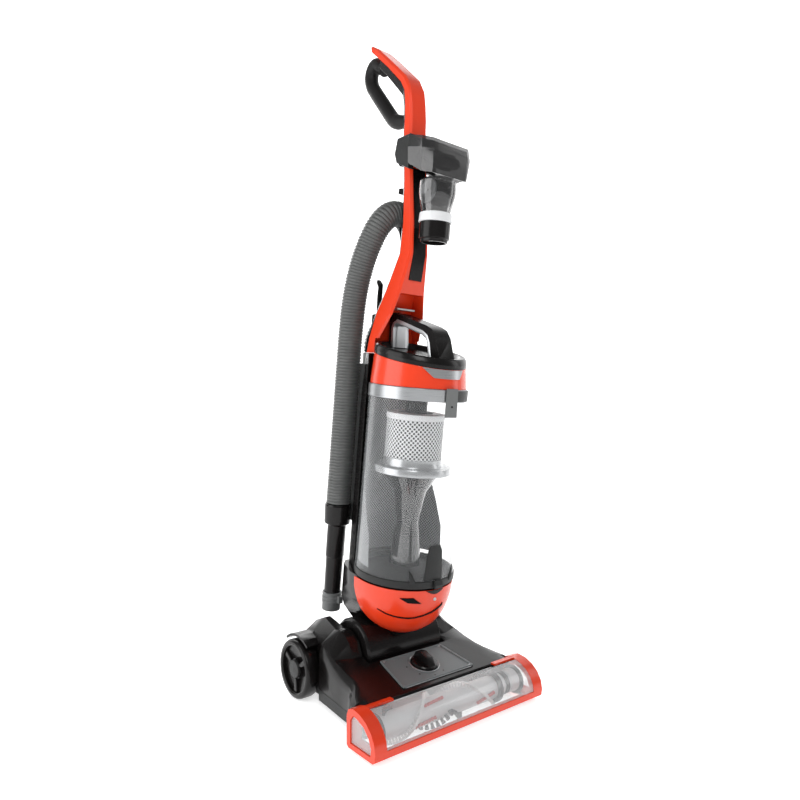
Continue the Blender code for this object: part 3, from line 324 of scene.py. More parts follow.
hose_route = [leaning(*p) for p in (
    (0.005, 0.133, 0.3635), (0.005, 0.133, 0.3780), (0.0100, 0.1310, 0.3980), (0.0220, 0.1220, 0.4250),
    (0.0300, 0.1120, 0.4580), (0.0390, 0.1010, 0.5000), (0.0400, 0.0930, 0.5350), (0.0310, 0.0860, 0.5730),
    (0.0130, 0.0840, 0.5950), (-0.0090, 0.0840, 0.6010), (-0.0280, 0.0850, 0.5920), (-0.0420, 0.0910, 0.5700),
    (-0.0500, 0.1030, 0.5350), (-0.0545, 0.1140, 0.4950), (-0.0575, 0.1200, 0.4500), (-0.0595, 0.1210, 0.4000),
    (-0.0600, 0.1210, 0.3400), (-0.0600, 0.1210, 0.2800), (-0.0600, 0.1210, 0.2200), (-0.0600, 0.1210, 0.1600),
    (-0.0600, 0.1210, 0.0950))]
hose_line = even(curve_through(hose_route, 12), 0.00066)
rib_shape = (0.0199, 0.0203, 0.0212, 0.0215, 0.0213, 0.0215, 0.0212, 0.0203)   # radii over one rib of 5.3 mm
hose_paint = Paint("hose_vinyl")
dust = hose_paint.noise(60, 4.0)
scuff = hose_paint.noise(900, 2.0)
hose_paint.set(Base_Color=hose_paint.blend(dust, (0.058, 0.060, 0.059, 1), (0.105, 0.108, 0.106, 1)),
               Roughness=0.34 + scuff * 0.22)
hose_paint.relief(scuff, 0.0001, 0.5)
hose = piece("stretch_hose", sweep(hose_line, [rib_shape[i % len(rib_shape)] for i in range(len(hose_line))],
                                   28), hose_paint.material, "upright", "grey_plastic", ("hose",), sharp=80)
hose_length = sum((b - a).length for a, b in zip(hose_line, hose_line[1:]))
tuple(hose_line[0])
[tuple(p) for p in hose_line[::6] + [hose_line[-1]]]


# ------------------------------------------------------------------ plastics of the housings
# The big shells are injection moulded: orange and black high gloss, a satin dark grey for the tray. Each has the
# faint flow marks, dust and hairline scuffs of a moulding, and softened edges where the tool halves meet.
def moulding(name, tone, shade, gloss, scuffs=0.10, grain=0.0, coat=0.0):
    """Moulded plastic: two close tones, uneven gloss, hairline scuffs and an optional spark-eroded grain."""
    paint = Paint(name)
    flow = paint.noise(9, 3.0)
    hairs = paint.noise(240, 2.0, 0.6, (1.0, 0.12, 1.0))
    specks = paint.noise(2600, 1.0)
    paint.set(Base_Color=paint.blend(flow, (*tone, 1), (*shade, 1)),
              Roughness=(gloss + hairs * scuffs * 0.6 + specks * scuffs * 0.4).clamp(),
              Coat_Weight=coat, Coat_Roughness=0.06)
    paint.relief(specks * (0.15 + grain) + flow * 0.2, 0.00022 if grain else 0.0001, 0.35 + 0.5 * (grain > 0))
    return paint.material


def softened(node, paint, slot, width=0.0012, steps=2, angle=32.0, name=None):
    """The solid of a frame node with its hard edges rounded, as a moulding has them."""
    source = frame["nodes"][node]
    bm = bmesh.new()
    bm.from_mesh(source.data)
    bmesh.ops.remove_doubles(bm, verts=bm.verts, dist=0.00002)
    bmesh.ops.dissolve_limit(bm, angle_limit=math.radians(1.0), verts=bm.verts, edges=bm.edges)
    made = piece(name or node + "_moulded", bm, paint, source["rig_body"], slot, (node,), sharp=angle)
    bevel = made.modifiers.new("edges", "BEVEL")
    bevel.width, bevel.segments, bevel.limit_method = width, steps, "ANGLE"
    bevel.angle_limit = math.radians(angle)
    bevel.use_clamp_overlap = True
    bevel.harden_normals = True
    return made


orange = moulding("orange_gloss", (0.70, 0.040, 0.0095), (0.74, 0.048, 0.012), 0.20, coat=0.12)
black = moulding("black_gloss", (0.0040, 0.0034, 0.0034), (0.0060, 0.0052, 0.0052), 0.20, coat=0.06)
# A darker, duller copy of the black plastic: painted shade, used as near-black plates where the vent and the air slot
# lie in shadow.
painted_shadow_black = moulding("black_shadow", (0.0030, 0.0028, 0.0028), (0.0040, 0.0036, 0.0036), 0.55)
charcoal = moulding("charcoal_satin", (0.010, 0.0105, 0.0105), (0.017, 0.018, 0.018), 0.38, grain=0.6)
silver = moulding("silver_lacquer", (0.42, 0.43, 0.44), (0.50, 0.51, 0.52), 0.24, coat=0.3)
for plastic, shine in ((black, 0.22), (painted_shadow_black, 0.1), (charcoal, 0.3), (orange, 0.40)):
    plastic.node_tree.nodes["Principled BSDF"].inputs["Specular IOR Level"].default_value = shine
silver.node_tree.nodes["Principled BSDF"].inputs["Metallic"].default_value = 0.75
grey = moulding("grey_satin", (0.10, 0.105, 0.105), (0.14, 0.145, 0.145), 0.36, grain=0.4)
pale = moulding("pale_satin", (0.62, 0.63, 0.64), (0.70, 0.71, 0.72), 0.34, grain=0.2)

# ------------------------------------------------------------------ foot
# The foot is a gloss black cover clipped over a satin tray. The orange frame of the nozzle holds a clear curved
# window and two clear end windows, and a grey soleplate closes it underneath.
for node, paint, slot, width in (("base_cover", black, "black_plastic", 0.0016),
                                 ("chassis", charcoal, "dark_plastic", 0.0012),
                                 ("nozzle_frame", orange, "orange_plastic", 0.0018),
                                 ("soleplate", grey, "grey_plastic", 0.0006),
                                 ("recline_pedal", charcoal, "dark_plastic", 0.0012),
                                 ("brush_liner", pale, "pale_plastic", 0.0005),
                                 ("axle_left", silver, "steel", 0.0004), ("axle_right", silver, "steel", 0.0004)):
    softened(node, paint, slot, width)


def see_through(name, tone, thin, thick, gloss=0.05):
    """Clear moulded plastic: thin in the middle, denser and more reflective where it turns away."""
    paint = Paint(name)
    rim = paint.node("ShaderNodeLayerWeight", {}, {"Blend": 0.35}, "Facing")
    smear = paint.noise(35, 3.0)
    paint.set(Base_Color=(*tone, 1), Roughness=gloss + smear * 0.05,
              Alpha=(thin + (rim ** 2.2) * (thick - thin)).clamp(), Specular_IOR_Level=0.9,
              Coat_Weight=1.0, Coat_Roughness=0.03)
    paint.relief(smear, 0.0003, 0.15)
    return paint.material


clear = see_through("clear_window", (0.86, 0.88, 0.89), 0.20, 0.85)
for node in ("nozzle_window", "end_window_left", "end_window_right"):
    softened(node, clear, "clear_plastic", 0.0004, 1)

# ------------------------------------------------------------------ brush roll
# A pale moulded roll turns behind the window between two bearing caps. A white and a black row of stiff bristle
# tufts are stapled into it along helices, beside short rows of red wear beads. A ring guards the belt's end of it.
brush_low, brush_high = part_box("brush_roll")
BRUSH_Y, BRUSH_Z = (brush_low.y + brush_high.y) / 2, (brush_low.z + brush_high.z) / 2
roll_paint = Paint("roll_plastic")
bands = ((roll_paint.axis("X") * 240.0).wave() * 0.5 + 0.5) ** 6
haze = roll_paint.noise(70, 3.0)
roll_paint.set(Base_Color=roll_paint.blend(haze, (0.60, 0.61, 0.62, 1), (0.74, 0.75, 0.76, 1)),
               Roughness=0.36 + haze * 0.15)
roll_paint.relief(bands, 0.0004, 0.4)
softened("brush_roll", roll_paint.material, "pale_plastic", 0.0008)
for node in ("brush_cap_left", "brush_cap_right"):
    softened(node, charcoal, "grey_plastic", 0.0008)


def tufts(turn_at, length, radius, count, sides):
    """A row of bristle tufts: small flared bundles that stand out of the roll along a helix."""
    bm = bmesh.new()
    across = Vector((1, 0, 0))
    for k in range(count):
        x = -0.133 + 0.234 * (k + 0.5) / count
        turn = turn_at(x)
        out = Vector((0, math.cos(turn), math.sin(turn)))
        over = out.cross(across)
        foot = Vector((x, BRUSH_Y, BRUSH_Z)) + out * 0.0178
        skin(bm, [[foot + out * length * share + (across * math.cos(a) + over * math.sin(a)) * radius * flare
                   for a in [2 * math.pi * i / sides for i in range(sides)]]
                  for share, flare in ((0.0, 1.0), (0.6, 1.25), (1.0, 1.7))])
    return bm


def helix(phase):
    """The turn of a row at a place along the roll; the row turns back in the middle."""
    return lambda x: phase + 2 * math.pi * abs((x + 0.134) / 0.236 - 0.5) * 1.6


def fibre(name, dark, light):
    """Nylon bristle: fine strands with pale tips."""
    paint = Paint(name)
    strands = paint.noise(3000, 2.0, 0.7, (1, 0.1, 0.1))
    paint.set(Base_Color=paint.blend(strands, dark, light), Roughness=0.5 + strands * 0.3)
    paint.relief(strands, 0.0003, 0.8)
    return paint.material


black_fibre = fibre("black_nylon", (0.012, 0.012, 0.012, 1), (0.07, 0.07, 0.07, 1))
white_fibre = fibre("white_nylon", (0.62, 0.62, 0.62, 1), (0.88, 0.88, 0.88, 1))
red_bead = moulding("red_beads", (0.50, 0.030, 0.022), (0.60, 0.04, 0.03), 0.30)
piece("white_tufts", tufts(helix(0.0), 0.0078, 0.0017, 66, 7), white_fibre, "brush", "rubber", ("bristle_row_a",))
piece("black_tufts", tufts(helix(math.pi), 0.0078, 0.0021, 38, 8), black_fibre, "brush", "rubber",
      ("bristle_row_b",))
bead_rows = ((-0.084, -0.048, 3.50, 3.30), (0.042, 0.076, 3.45, 3.10), (-0.066, -0.026, 2.25, 2.10))
bm = bmesh.new()
for x_low, x_high, start, end in bead_rows:
    for k in range(8):
        x, turn = x_low + (x_high - x_low) * k / 7, start + (end - start) * k / 7
        spot = Vector((x, BRUSH_Y + 0.0196 * math.cos(turn), BRUSH_Z - 0.0196 * math.sin(turn - math.pi)))
        bmesh.ops.create_icosphere(bm, subdivisions=2, radius=0.0027, matrix=Matrix.Translation(spot))
piece("wear_beads", bm, red_bead, "brush", "rubber")


def turned(profile, count, place=None, turn="Z"):
    """A closed turned shape from an outline of (radius, height) points, about an axis."""
    bm = bmesh.new()
    rings = []
    for k in range(count):
        a = 2 * math.pi * k / count
        ring = []
        for radius, height in profile:
            u, v = radius * math.cos(a), radius * math.sin(a)
            point = Vector({"Z": (u, v, height), "X": (height, u, v), "Y": (v, height, u)}[turn])
            ring.append(bm.verts.new(place @ point if place else point))
        rings.append(ring)
    for a, b in zip(rings, rings[1:] + rings[:1]):
        for i in range(len(profile)):
            j = (i + 1) % len(profile)
            bm.faces.new((a[i], a[j], b[j], b[i]))
    return bm


guard = turned([(0.0186, 0.0880), (0.0240, 0.0880), (0.0240, 0.0950), (0.0186, 0.0950)], 48,
               Matrix.Translation((0, BRUSH_Y, BRUSH_Z)), "X")
piece("belt_guard_ring", guard, charcoal, "brush", "pale_plastic")

# ------------------------------------------------------------------ dust sill
# A white sill lies under the brush, just behind the window, and throws the dust back up. Short cranked ribs of red
# plastic are moulded onto it.
sill = ((-0.1490, 0.0070), (-0.1400, 0.0150), (-0.1390, 0.0140), (-0.1480, 0.0060))
piece("dust_sill", skin(bmesh.new(), [[(x, y, z) for y, z in sill] for x in (-0.1280, 0.1280)]), pale, "base",
      "pale_plastic")
red_rib = moulding("red_ribs", (0.26, 0.022, 0.016), (0.33, 0.030, 0.020), 0.35)
crank = ((0.0, 0.0), (0.0, 0.40), (0.0045, 0.60), (0.0045, 1.0))       # sideways step, share of the sill's slope
rib_section = ((-0.0012, 0.0), (0.0012, 0.0), (0.0012, 0.0016), (-0.0012, 0.0016))
bm = bmesh.new()
for x in (-0.110, -0.076, -0.012, 0.034):
    skin(bm, [[(x + shift + u, -0.1490 + 0.0090 * share - v * 0.66, 0.0070 + 0.0080 * share + v * 0.75)
               for u, v in rib_section] for shift, share in crank])
piece("sill_ribs", bm, red_rib, "base", "pale_plastic")

# ------------------------------------------------------------------ drive belt
# A flat black rubber belt with fine ribs across its width runs from the motor shaft's pulley to the right-hand end of
# the brush roll, behind the belt guard ring. It is stretched over both.
belt_paint = Paint("belt_rubber")
weave = (belt_paint.axis("X") * 9000.0).wave() * 0.5 + 0.5
belt_paint.set(Base_Color=belt_paint.blend(belt_paint.noise(120), (0.018, 0.018, 0.018, 1), (0.05, 0.05, 0.05, 1)),
               Roughness=0.62 + weave * 0.1)
belt_paint.relief(weave, 0.0002, 0.5)
softened("drive_belt", belt_paint.material, "rubber", 0.0003, 1)

# ------------------------------------------------------------------ height panel and dial
# A silver-grey panel lies on the sloping deck. Its black dial has a raised grip rib and points at round marks.
panel_paint = Paint("height_panel_plastic")
stipple = panel_paint.noise(2200, 1.0)
panel_paint.set(Base_Color=panel_paint.blend(stipple, (0.098, 0.116, 0.120, 1), (0.165, 0.188, 0.192, 1)),
                Roughness=0.42 + stipple * 0.2)
panel_paint.relief(stipple, 0.0002, 0.7)
softened("height_panel", panel_paint.material, "silver_plastic", 0.0009)
softened("height_dial", black, "black_plastic", 0.0014)
DECK_SLOPE = 0.222
deck_turn = Matrix.Translation((0, -0.0550, 0.0699)) @ Matrix.Rotation(math.atan(DECK_SLOPE), 4, "X")
ring = [(0.0236, 0.0012), (0.0236, 0.0024), (0.0243, 0.0028), (0.0249, 0.0024), (0.0249, 0.0012)]
piece("dial_ring", turned(ring, 48, deck_turn), silver, "base", "silver_plastic")
bm = bmesh.new()
for turn in (173, 218, 262, 300):
    a = math.radians(turn)
    bmesh.ops.create_cone(bm, cap_ends=True, segments=16, radius1=0.0012, radius2=0.0010, depth=0.0006,
                          matrix=deck_turn @ Matrix.Translation((0.0330 * math.cos(a), 0.0330 * math.sin(a), 0.0012)))
piece("height_marks", bm, black, "base", "silver_plastic")


def ribbon(loops, closed=True):
    """Faces between loops of points, each loop joined to the next."""
    bm = bmesh.new()
    rows = [[bm.verts.new(p) for p in loop] for loop in loops]
    count = len(rows[0])
    for low, high in zip(rows, rows[1:] + rows[:1]):
        for i in range(count if closed else count - 1):
            j = (i + 1) % count
            bm.faces.new((low[i], low[j], high[j], high[i]))
    return bm


def rounded(corners, radius, steps=5):
    """A flat outline with its corners rounded."""
    out = []
    for i, corner in enumerate(corners):
        corner = Vector(corner)
        before, after = Vector(corners[i - 1]) - corner, Vector(corners[(i + 1) % len(corners)]) - corner
        start, end = corner + before.normalized() * radius, corner + after.normalized() * radius
        for k in range(steps + 1):
            t = k / steps
            out.append(start.lerp(corner, t).lerp(corner.lerp(end, t), t))
    return out


def on_deck(point, lift):
    """A point of the sloping deck, a little above it."""
    return Vector((point.x, point.y, 0.0629 + DECK_SLOPE * (point.y + 0.0865) + lift))


panel_low, panel_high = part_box("height_panel")
outline = [(-0.0733, panel_low.y), (0.0733, panel_low.y), (0.0640, panel_high.y), (-0.0640, panel_high.y)]
middle = (panel_low.y + panel_high.y) / 2
rims = []
for shrink, lift in ((0.0, 0.0004), (0.0006, 0.0024), (0.0022, 0.0024), (0.0044, 0.0004)):
    inner = [(x * (1 - shrink / 0.0733), middle + (y - middle) * (1 - shrink / 0.035)) for x, y in outline]
    rims.append([on_deck(p, lift) for p in rounded(inner, 0.0075)])
piece("panel_rim", ribbon(rims), silver, "base", "silver_plastic")

# ------------------------------------------------------------------ wheels
# Gloss black rear wheels turn on stub axles. Each has a dished face with three ribs and a snapped-on hub cap. Two
# small rollers with a softer tread carry the nozzle.
tread = moulding("tread_black", (0.016, 0.016, 0.016), (0.030, 0.030, 0.030), 0.5, grain=0.5)
for side_name, sign in (("left", -1), ("right", 1)):
    low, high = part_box("wheel_" + side_name)
    centre = (low + high) / 2
    radius = (high.z - low.z) / 2
    face, heart = (low.x if sign < 0 else high.x), (high.x if sign < 0 else low.x)
    outline = [(0.0052, heart), (radius - 0.0030, heart), (radius - 0.0008, heart + sign * 0.0012),
               (radius, heart + sign * 0.0035), (radius, face - sign * 0.0045),
               (radius - 0.0010, face - sign * 0.0018), (radius - 0.0035, face), (radius - 0.0075, face),
               (radius - 0.0085, face - sign * 0.0012), (radius - 0.0100, face - sign * 0.0016),
               (radius - 0.0110, face - sign * 0.0075), (0.0170, face - sign * 0.0100),
               (0.0160, face - sign * 0.0055), (0.0052, face - sign * 0.0052)]
    hub_place = Matrix.Translation((0, centre.y, centre.z))
    piece("wheel_shell_" + side_name, turned(outline, 72, hub_place, "X"), black, side_name + "_wheel",
          "black_plastic", ("wheel_" + side_name,))
    bm = bmesh.new()
    for k in range(3):
        a = 2 * math.pi * k / 3 + 0.5
        out, over = Vector((0, math.cos(a), math.sin(a))), Vector((0, -math.sin(a), math.cos(a)))
        root = Vector((face - sign * 0.0060, centre.y, centre.z))
        skin(bm, [[root + Vector((sign * x, 0, 0)) + out * reach + over * u for u, x in
                   ((-half, -0.0045), (half, -0.0045), (half * 0.7, lift), (-half * 0.7, lift))]
                  for reach, half, lift in ((0.0150, 0.0042, 0.0027), (0.0375, 0.0066, 0.0025))])
    spokes = piece("wheel_ribs_" + side_name, bm, black, side_name + "_wheel", "black_plastic")
    soft = spokes.modifiers.new("edges", "BEVEL")
    soft.width, soft.segments = 0.0012, 2
    cap = [(0.0006, face - sign * 0.0052), (0.0150, face - sign * 0.0052), (0.0150, face - sign * 0.0025),
           (0.0138, face - sign * 0.0010), (0.0006, face - sign * 0.0004)]
    piece("hub_cap_" + side_name, turned(cap, 40, hub_place, "X"), charcoal, side_name + "_wheel", "black_plastic")
    softened("roller_" + side_name, tread, "black_plastic", 0.0006)

# ------------------------------------------------------------------ motor unit and rear column
# The gloss black motor barrel turns between the foot's arms and carries the column behind the tank. An orange
# bowl-shaped exhaust panel with a louvred vent clips over its front. Inside are the motor, its fan and a filter.
for node, paint, slot, width in (("motor_housing", black, "black_plastic", 0.0012),
                                 ("rear_housing", black, "black_plastic", 0.0020),
                                 ("exhaust_panel", orange, "orange_plastic", 0.0008),
                                 ("power_switch", charcoal, "dark_plastic", 0.0008),
                                 ("inlet_pipe", grey, "grey_plastic", 0.0006)):
    softened(node, paint, slot, width)
metal = Paint("turned_steel")
rings_cut = metal.noise(900, 2.0, 0.5, (1, 0.08, 0.08))
metal.set(Base_Color=metal.blend(rings_cut, (0.42, 0.42, 0.43, 1), (0.60, 0.60, 0.61, 1)), Metallic=1.0,
          Roughness=0.24 + rings_cut * 0.18)
metal.relief(rings_cut, 0.00008, 0.4)
softened("motor", metal.material, "motor_metal", 0.0010)
softened("motor_shaft", metal.material, "steel", 0.0003)
softened("fan", pale, "pale_plastic", 0.0005)
pleats = Paint("filter_pleats")
# The pleat wave makes the folds' valleys darker and their crests lighter in the colour: painted shade and painted
# light of the folds; the same wave also drives the bump.
pleat_wave_shade = (pleats.axis("X") * 2200.0).wave() * 0.5 + 0.5
fluff = pleats.noise(800, 4.0)
pleats.set(Base_Color=pleats.blend(pleat_wave_shade, (0.45, 0.45, 0.44, 1), (0.82, 0.82, 0.80, 1)), Roughness=0.8 + fluff * 0.15)
pleats.relief(pleat_wave_shade * 0.8 + fluff * 0.2, 0.0015, 0.9)
softened("exhaust_filter", pleats.material, "pale_plastic", 0.0010)


def bowl_radius(h):
    """Outer radius of the exhaust panel at a height."""
    outline = ((-0.0925, 0.0300), (-0.0830, 0.0470), (-0.0720, 0.0600), (-0.0580, 0.0700), (-0.0450, 0.0755),
               (-0.0330, 0.0790), (-0.0200, 0.0815), (-0.0030, 0.0830))
    for (h0, r0), (h1, r1) in zip(outline, outline[1:]):
        if h0 <= h <= h1:
            return r0 + (r1 - r0) * (h - h0) / (h1 - h0)
    return outline[-1][1]


def on_bowl(angle, h, lift):
    """A point on the exhaust panel: degrees round from the front, height, and how far proud of it."""
    a = math.radians(angle)
    r = bowl_radius(h) + lift
    return leaning(r * math.sin(a), -r * math.cos(a), h)


def patch(angles, heights, at, lift, depth):
    """A thin plate that follows a surface over a range of angles and heights."""
    bm = bmesh.new()
    layers = []
    for level in (lift, lift - depth):
        layers.append([[bm.verts.new(at(a, h, level)) for a in angles] for h in heights])
    rows, columns = len(heights), len(angles)
    for j in range(rows - 1):
        for i in range(columns - 1):
            bm.faces.new((layers[0][j][i], layers[0][j][i + 1], layers[0][j + 1][i + 1], layers[0][j + 1][i]))
            bm.faces.new((layers[1][j][i], layers[1][j + 1][i], layers[1][j + 1][i + 1], layers[1][j][i + 1]))
    for i in range(columns - 1):
        for j in (0, rows - 1):
            bm.faces.new((layers[0][j][i], layers[1][j][i], layers[1][j][i + 1], layers[0][j][i + 1]))
    for j in range(rows - 1):
        for i in (0, columns - 1):
            bm.faces.new((layers[0][j][i], layers[0][j + 1][i], layers[1][j + 1][i], layers[1][j][i]))
    return bm


def steps(low, high, count):
    """Evenly spaced values, both ends included."""
    return [low + (high - low) * i / (count - 1) for i in range(count)]


def wrapped(upper, lower):
    """A thin plate on the bowl between an upper and a lower edge, each a list of (angle, height)."""
    outer, inner = 0.0011, -0.0004
    loops = [[on_bowl(*p, outer) for p in upper], [on_bowl(*p, outer) for p in lower],
             [on_bowl(*p, inner) for p in lower], [on_bowl(*p, inner) for p in upper]]
    bm = ribbon(loops, closed=False)
    for end in (0, len(upper) - 1):
        bm.faces.new([bm.verts[:][row * len(upper) + end] for row in range(4)])
    return bm


def between(points, count):
    """Points an even share apart along a line of (angle, height)."""
    out = []
    for i in range(count):
        at = i / (count - 1) * (len(points) - 1)
        k = min(int(at), len(points) - 2)
        (a0, h0), (a1, h1) = points[k], points[k + 1]
        out.append((a0 + (a1 - a0) * (at - k), h0 + (h1 - h0) * (at - k)))
    return out


# The vent and the air slot are thin near-black plates on the orange panel: painted shade in place of the shadowed
# openings.
vent = wrapped(between(((-42, -0.0150), (-27, -0.0138)), 9), between(((-33, -0.0222), (-17, -0.0236)), 9))
piece("vent", vent, painted_shadow_black, "panel", "orange_plastic")
line = ((-69, -0.0405), (-58, -0.0455), (-48, -0.0482), (-38, -0.0496), (-30, -0.0500), (-22, -0.0492),
        (-12, -0.0465), (1, -0.0420), (10, -0.0372), (16, -0.0330))
width = (0.0008, 0.0013, 0.0014, 0.0014, 0.0015, 0.0015, 0.0018, 0.0022, 0.0028, 0.0032)
air_slot = wrapped([(a, h + w) for (a, h), w in zip(line, width)],
                   [(a, h - w * 0.6) for (a, h), w in zip(line, width)])
piece("air_slot", air_slot, painted_shadow_black, "panel", "orange_plastic")
notch = wrapped(between(((-13, -0.0032), (11, -0.0032)), 13),
                [(-13 + 2 * k, -0.0034 - 0.0062 * math.sin(math.pi * k / 12)) for k in range(13)])
piece("thumb_notch", notch, black, "panel", "orange_plastic")
facing_front = Matrix.Rotation(math.radians(83), 4, "X")
bm = bmesh.new()
bmesh.ops.create_cone(bm, cap_ends=True, segments=24, radius1=0.0028, radius2=0.0024, depth=0.0012,
                      matrix=Matrix.Translation(on_bowl(0, -0.0185, 0.0005)) @ facing_front)
piece("panel_screw", bm, metal.material, "panel", "steel")

# ------------------------------------------------------------------ spine, grip and holders
# The orange spine cover is a deep channel with a black strip along its back. It bends back over the black
# soft-touch grip. The hose holder, the two cord hooks and the tool's block are black mouldings screwed to it.
for node, paint, slot, width in (("spine_cover", orange, "orange_plastic", 0.0022),
                                 ("spine_back", black, "black_plastic", 0.0010),
                                 ("spine_inlay", black, "black_plastic", 0.0004),
                                 ("hose_holder", black, "black_plastic", 0.0014),
                                 ("cord_hook_lower", black, "black_plastic", 0.0012),
                                 ("cord_hook_upper", black, "black_plastic", 0.0012),
                                 ("tool_mount", charcoal, "black_plastic", 0.0014),
                                 ("tank_release", silver, "silver_plastic", 0.0008),
                                 ("wand", black, "black_plastic", 0.0006),
                                 ("wand_socket", grey, "grey_plastic", 0.0005)):
    softened(node, paint, slot, width)
# A thin grey strip on the black column's edge beside the hose, though the column is black plastic: a painted
# highlight along that edge.
highlight_strip_outline = ((-0.0368, 0.0962), (-0.0368, 0.1262), (-0.0352, 0.1280), (-0.0334, 0.1280), (-0.0322, 0.1262),
       (-0.0322, 0.0962))
highlight_strip_loops = [[leaning(x, q, h) for x, q in highlight_strip_outline] for h in (0.0640, 0.0700, 0.3300, 0.3420)]
piece("column_edge_highlight", skin(bmesh.new(), highlight_strip_loops), grey, "upright", "black_plastic")
soft_touch = Paint("soft_touch_rubber")
pores = soft_touch.noise(1800, 2.0)
worn = soft_touch.noise(30)
soft_touch.set(Base_Color=soft_touch.blend(worn, (0.0040, 0.0036, 0.0036, 1), (0.0085, 0.0080, 0.0080, 1)),
               Roughness=0.42 + pores * 0.22, Specular_IOR_Level=0.25)
soft_touch.relief(pores, 0.00015, 0.6)
grip_route = [leaning(*p) for p in (
    (0, 0.1592, 0.8624), (0, 0.1690, 0.8702), (0, 0.1790, 0.8765), (0, 0.1880, 0.8790), (0, 0.1955, 0.8750),
    (0, 0.2000, 0.8670), (0, 0.2000, 0.8560), (0, 0.1950, 0.8440), (0, 0.1860, 0.8330), (0, 0.1540, 0.8000),
    (0, 0.1300, 0.7755), (0, 0.1180, 0.7655), (0, 0.1050, 0.7610), (0, 0.0900, 0.7590), (0, 0.0756, 0.7580))]
grip_line = even(curve_through(grip_route, 10), 0.0025)
last = len(grip_line) - 1
grip_girth = [0.0124 if 3 < i < last - 12 else 0.0112 if i <= 3 else 0.0124 - 0.0040 * (i - last + 12) / 12
              for i in range(last + 1)]
piece("soft_grip", sweep(grip_line, grip_girth, 28), soft_touch.material, "upright", "rubber", ("grip",))

# ------------------------------------------------------------------ tank
# The lift-out tank: a clear cup with a silver band, an orange lid band under a black sloping lid, and a hinged
# floor. Inside stand the pale perforated screen, its flange and a smoky cone.
cup_clear = see_through("clear_cup", (0.55, 0.57, 0.58), 0.06, 0.70)
smoky = see_through("smoky_clear", (0.012, 0.012, 0.0125), 0.60, 0.95)
cone_paint = see_through("smoky_cone", (0.022, 0.022, 0.023), 0.80, 0.97)
for node, paint, slot, width in (("tank_cup", cup_clear, "clear_plastic", 0.0004),
                                 ("lid_band", orange, "orange_plastic", 0.0008),
                                 ("tank_lid", black, "black_plastic", 0.0016),
                                 ("tank_door", charcoal, "black_plastic", 0.0010),
                                 ("door_latch", charcoal, "dark_plastic", 0.0008),
                                 ("latch_tab", grey, "grey_plastic", 0.0010),
                                 ("inner_cone", cone_paint, "smoky_plastic", 0.0004)):
    softened(node, paint, slot, width)
band_metal = Paint("brushed_band")
brushing = band_metal.noise(500, 2.0, 0.6, (0.06, 0.06, 3.0))
band_metal.set(Base_Color=band_metal.blend(brushing, (0.30, 0.31, 0.32, 1), (0.46, 0.47, 0.48, 1)), Metallic=0.9,
               Roughness=0.22 + brushing * 0.16)
band_metal.relief(brushing, 0.00008, 0.5)
softened("tank_band", band_metal.material, "silver_plastic", 0.0008)


def perforated(name, tone, shade, across, along):
    """A sheet punched with staggered round holes, read round the tank's axis and up it; the holes are painted near
    black, painted shade seen through them.
    """
    paint = Paint(name)
    point = paint.node("ShaderNodeMapping", {"vector_type": "TEXTURE"},
                       {"Vector": paint.place(), "Location": (0, TANK_Y, TANK_Z), "Rotation": (LEAN, 0, 0)})
    parts = [paint.node("ShaderNodeSeparateXYZ", {}, {0: point}, i) for i in range(3)]
    round_it = paint.node("ShaderNodeMath", {"operation": "ARCTAN2"}, {0: parts[0], 1: parts[1]})
    u, v = round_it * across, parts[2] * along
    one = u.wave() * v.wave()
    # The holes get the dark colour: painted shade in place of the tank's dim inside seen through them.
    hole_shade = one > 0.10
    paint.set(Base_Color=paint.blend(hole_shade, (*tone, 1), (*shade, 1)), Roughness=0.36 + paint.noise(90) * 0.2)
    paint.relief(one, 0.0006, 0.6)
    return paint.material


def drum(outline, count=64):
    """A turned shape about the tank's axis, from an outline of (radius, height) points."""
    return turned(outline, count, Matrix.Translation((0, TANK_Y, TANK_Z)) @ Matrix.Rotation(LEAN, 4, "X"))


screen = [(0.0462, 0.1960), (0.0474, 0.1960), (0.0474, 0.2600), (0.0462, 0.2600)]
piece("screen_drum", drum(screen), perforated("screen_sheet", (0.66, 0.67, 0.68), (0.012, 0.012, 0.013), 42.0, 860.0),
      "tank", "pale_plastic", ("cyclone_screen",))
collars = drum([(0.0462, 0.2600), (0.0484, 0.2600), (0.0488, 0.2612), (0.0484, 0.2690), (0.0440, 0.2700),
                (0.0300, 0.2700), (0.0300, 0.2690), (0.0440, 0.2685), (0.0462, 0.2675)])
piece("screen_collar", collars, pale, "tank", "pale_plastic")
flange = drum([(0.0440, 0.1960), (0.0486, 0.1960), (0.0492, 0.1880), (0.0510, 0.1840), (0.0632, 0.1828),
               (0.0640, 0.1818), (0.0640, 0.1722), (0.0630, 0.1715), (0.0600, 0.1715), (0.0600, 0.1800),
               (0.0460, 0.1800)])
piece("screen_flange", flange, silver, "tank", "pale_plastic")
tube = drum([(0.0170, 0.2690), (0.0180, 0.2690), (0.0180, 0.2936), (0.0170, 0.2936)])
piece("outlet_tube", tube, charcoal, "tank", "smoky_plastic")
sheet_paint = perforated("back_sheet", (0.36, 0.37, 0.38), (0.012, 0.012, 0.012), 90.0, 1160.0)
sheet_loops = []
for h, half in ((0.0200, 92.0), (0.0700, 89.0), (0.1100, 78.0), (0.1450, 68.0), (0.1800, 58.0), (0.2350, 53.0),
                (0.2850, 50.0)):
    turns = [math.radians(a) for a in steps(-half, half, 25)]
    sheet_loops.append([leaning(0.0776 * math.sin(a), 0.0776 * math.cos(a), h) for a in turns]
                       + [leaning(0.0768 * math.sin(a), 0.0768 * math.cos(a), h) for a in turns[::-1]])
piece("back_sheet", skin(bmesh.new(), sheet_loops), sheet_paint, "tank", "pale_plastic", ("back_screen",))


